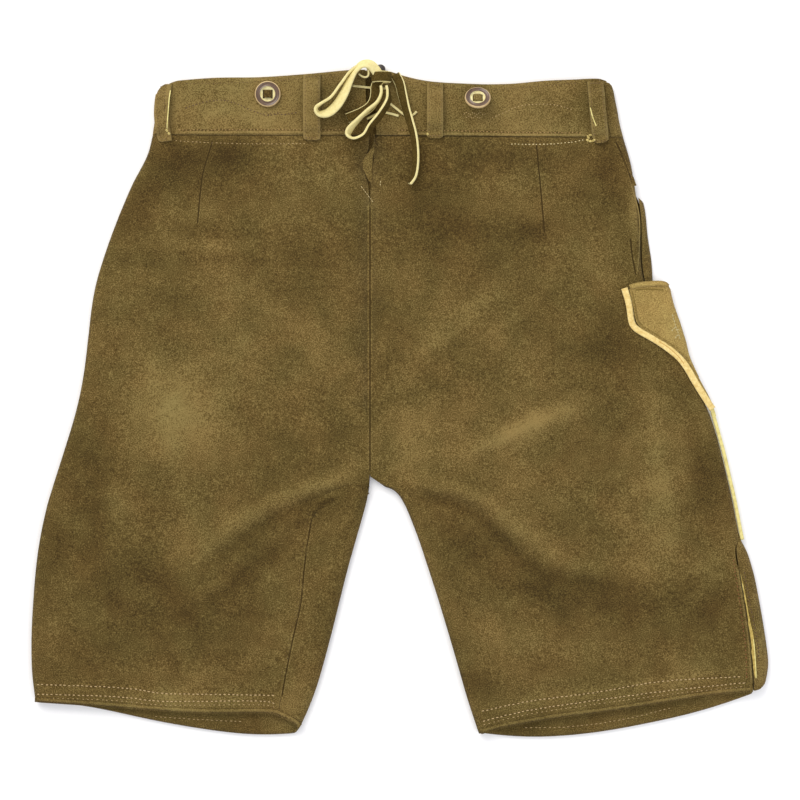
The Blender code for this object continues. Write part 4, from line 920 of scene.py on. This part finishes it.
# Points along the middle of the thong, and how far it is turned from lying flat, in degrees.
LACE = {
    "lace_loop_upper": (
        (-25.0, 298.0, 15.5, 70), (-33.0, 302.0, 15.5, 78), (-44.0, 296.0, 15.5, 80),
        (-54.0, 283.0, 16.5, 80),
        (-62.0, 272.0, 18.0, 80), (-70.4, 266.0, 19.0, 85), (-75.0, 261.8, 19.2, 96),
        (-72.6, 257.0, 19.0, 122),
        (-65.0, 257.4, 18.4, 150), (-57.0, 264.0, 18.0, 158), (-50.0, 275.0, 18.0, 150),
        (-45.0, 286.0, 18.6, 130),
        (-40.0, 295.0, 19.2, 118), (-33.8, 300.8, 19.6, 138), (-27.2, 300.8, 19.2, 158),
        (-22.4, 296.6, 17.6, 170),
        (-19.0, 291.6, 15.6, 174),
    ),
    "lace_loop_lower": (
        (-17.0, 281.6, 17.0, 92), (-16.8, 275.0, 17.0, 92), (-20.6, 267.0, 17.0, 93),
        (-29.6, 259.4, 16.6, 96),
        (-38.6, 250.6, 16.0, 103), (-45.2, 243.0, 15.6, 120), (-46.2, 238.0, 15.4, 110),
        (-40.4, 234.4, 15.4, 82),
        (-31.6, 237.8, 15.4, 66), (-25.8, 246.4, 15.8, 58), (-17.6, 256.4, 16.4, 58),
        (-10.8, 268.0, 17.0, 64),
        (-10.4, 276.0, 17.0, 78), (-12.0, 281.8, 17.0, 86),
    ),
    "lace_tail_left": (  # from inside the knot
        (-11.5, 290.5, 14.5, 0), (-17.0, 289.0, 14.0, 0), (-20.5, 285.0, 11.8, 0), (-22.0, 281.6, 10.6, 0),
        (-22.2, 276.0, 10.6, 0), (-23.4, 270.0, 10.5, 0), (-26.8, 264.4, 10.9, 0),
        (-33.0, 259.8, 11.3, 0), (-40.0, 256.6, 11.4, 0),
        (-47.5, 253.6, 11.4, 0),
    ),
    "lace_tail_right": (
        (-4.6, 292.6, 14.0, 8), (-0.6, 285.4, 13.2, 14), (2.0, 275.4, 12.9, 26), (5.2, 262.8, 13.0, 40),
        (8.6, 252.0, 13.0, 48), (12.0, 240.0, 12.8, 52), (13.9, 227.0, 12.6, 54), (14.0, 213.3, 12.4, 54),
        (12.4, 202.0, 12.4, 60), (8.6, 194.8, 12.6, 74),
    ),
}


def thong_section(wide, thick, core):
    """A flat thong with softened corners: its face is dyed, its reverse and edges are the core."""
    a, b, c = wide / 2, thick / 2, min(0.65, thick / 3)
    ring = [(-a, -b + c), (-a + c, -b), (-a / 2, -b), (a / 2, -b), (a - c, -b), (a, -b + c)]
    ring += [(a, b - c), (a - c, b), (a / 2, b), (-a / 2, b), (-a + c, b), (-a, b - c)]
    faced = {7, 8, 9}
    return [(x, y, 0 if k in faced and not core else 1) for k, (x, y) in enumerate(ring)]


thong_reverse = cut_leather("thong_undyed_reverse", "#d4c586", "#e6da9c")
thong_face = brushed_suede("thong_dyed_face", "#33280c", "#4c3d18", "#69572c")
thong_face.node_tree.nodes["Principled BSDF"].inputs["Sheen Weight"].default_value = 0.0
KNOT = Vector((-16.6, 290.2, 14.6))
KNOT_HALF = (8.4, 5.0)  # half sizes of the wrap's middle line, along X and Z
KNOT_STEPS = 48
points, faces, kinds = [], [], []
section = thong_section(9.8, 1.8, False)
for k in range(KNOT_STEPS):
    turn = math.tau * k / KNOT_STEPS
    on = KNOT + Vector((KNOT_HALF[0] * math.cos(turn), 0, KNOT_HALF[1] * math.sin(turn)))
    out = Vector((math.cos(turn) / KNOT_HALF[0], 0, math.sin(turn) / KNOT_HALF[1])).normalized()
    points += [on + Vector((0, a, 0)) + out * (b - 0.03 * a * a) for a, b, _ in section]
    for i, (_, _, kind) in enumerate(section):
        a, b = k * len(section) + i, k * len(section) + (i + 1) % len(section)
        ahead = len(section) if k < KNOT_STEPS - 1 else -k * len(section)
        faces.append((a, b, b + ahead, a + ahead))
        kinds.append(kind)
knot = new_piece("lace_knot_wrap", points, faces, thong_face, [0.0] * len(points))
knot.data.materials.append(thong_reverse)
knot.data.polygons.foreach_set("material_index", kinds)
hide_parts("lace_knot")
strand = strap_mesh("lace_knot_strand", smooth_route(
    [(-29.4, 298.0, 18.6, 0), (-28.2, 294.4, 18.0, 0), (-28.6, 291.0, 17.2, 0), (-31.0, 289.8, 16.6, 0),
     (-34.0, 290.6, 16.2, 0), (-36.8, 292.8, 15.8, 0)], 0.8,
), thong_section(1.7, 1.3, True), (thong_face, thong_reverse))
crosses = [
    dress(shell(f"lace_cross_{number}", 1, folded=False), thong_reverse) for number in (1, 2, 3)
]
for name, route in LACE.items():
    line = smooth_route(route, 1.5)
    piece = strap_mesh(name + "_thong", line, thong_section(THONG_WIDE, THONG_THICK, False),
                       (thong_face, thong_reverse))
    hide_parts(name)
    centre = [[c * MM for c in p[:3]] for p in line]

# ----------------------------------------------------------------------------------------------------
# Cutting: each piece of suede in turn, and its name without the suffix. The leather lies as cut, pressed flat
# on the table.
for piece in cloth + [flap]:
    name = piece.name.removesuffix("_cloth")

# ----------------------------------------------------------------------------------------------------
# Studio: a plain pale table, one large soft light from the top left with a weaker one opposite, and a camera
# straight above.
CAMERA_LENS = 85.0
SENSOR = 36.0
SEEN_WIDE = 720.0  # the width of table that the camera takes in, at the height of the upper suede
UPPER_SUEDE = 7.0
AIM = (0.0, 0.9)


def stage_material(name, colour):
    """Matt painted board: plain, pale and even."""
    made = bpy.data.materials.new(name)
    made.use_nodes = True
    shader = made.node_tree.nodes["Principled BSDF"]
    shader.inputs["Base Color"].default_value = linear(colour)
    shader.inputs["Roughness"].default_value = 0.9
    return made


bpy.ops.mesh.primitive_plane_add(size=8.0, location=(0, 0, 0))
table = bpy.context.object
table.name = "table_top"
table.data.materials.append(stage_material("painted_board", "#fdfdfc"))


def soft_light(name, place, size, power, colour):
    lamp = bpy.data.lights.new(name, "AREA")
    lamp.shape = "DISK"
    lamp.size = size
    lamp.energy = power
    lamp.color = linear(colour)[:3]
    made = bpy.data.objects.new(name, lamp)
    bpy.context.scene.collection.objects.link(made)
    made.location = place
    made.rotation_euler = (Vector((0, 0, 0)) - Vector(place)).to_track_quat("-Z", "Y").to_euler()


soft_light("key", (-0.9, 1.6, 1.5), 1.8, 35.0, "#fffaf2")
soft_light("fill", (1.4, -0.9, 1.6), 1.8, 12.0, "#f4f7ff")
world = bpy.data.worlds.new("studio")
bpy.context.scene.world = world
world.use_nodes = True
sky = world.node_tree.nodes["Background"]
sky.inputs["Color"].default_value = linear("#fbfbff")
sky.inputs["Strength"].default_value = 0.84

eye = bpy.data.cameras.new("above")
eye.lens = CAMERA_LENS
eye.sensor_width = SENSOR
eye.clip_end = 20.0
camera = bpy.data.objects.new("above", eye)
bpy.context.scene.collection.objects.link(camera)
camera.location = (AIM[0] * MM, AIM[1] * MM, (UPPER_SUEDE + SEEN_WIDE * CAMERA_LENS / SENSOR) * MM)
bpy.context.scene.camera = camera
bpy.context.scene.view_settings.view_transform = "Standard"
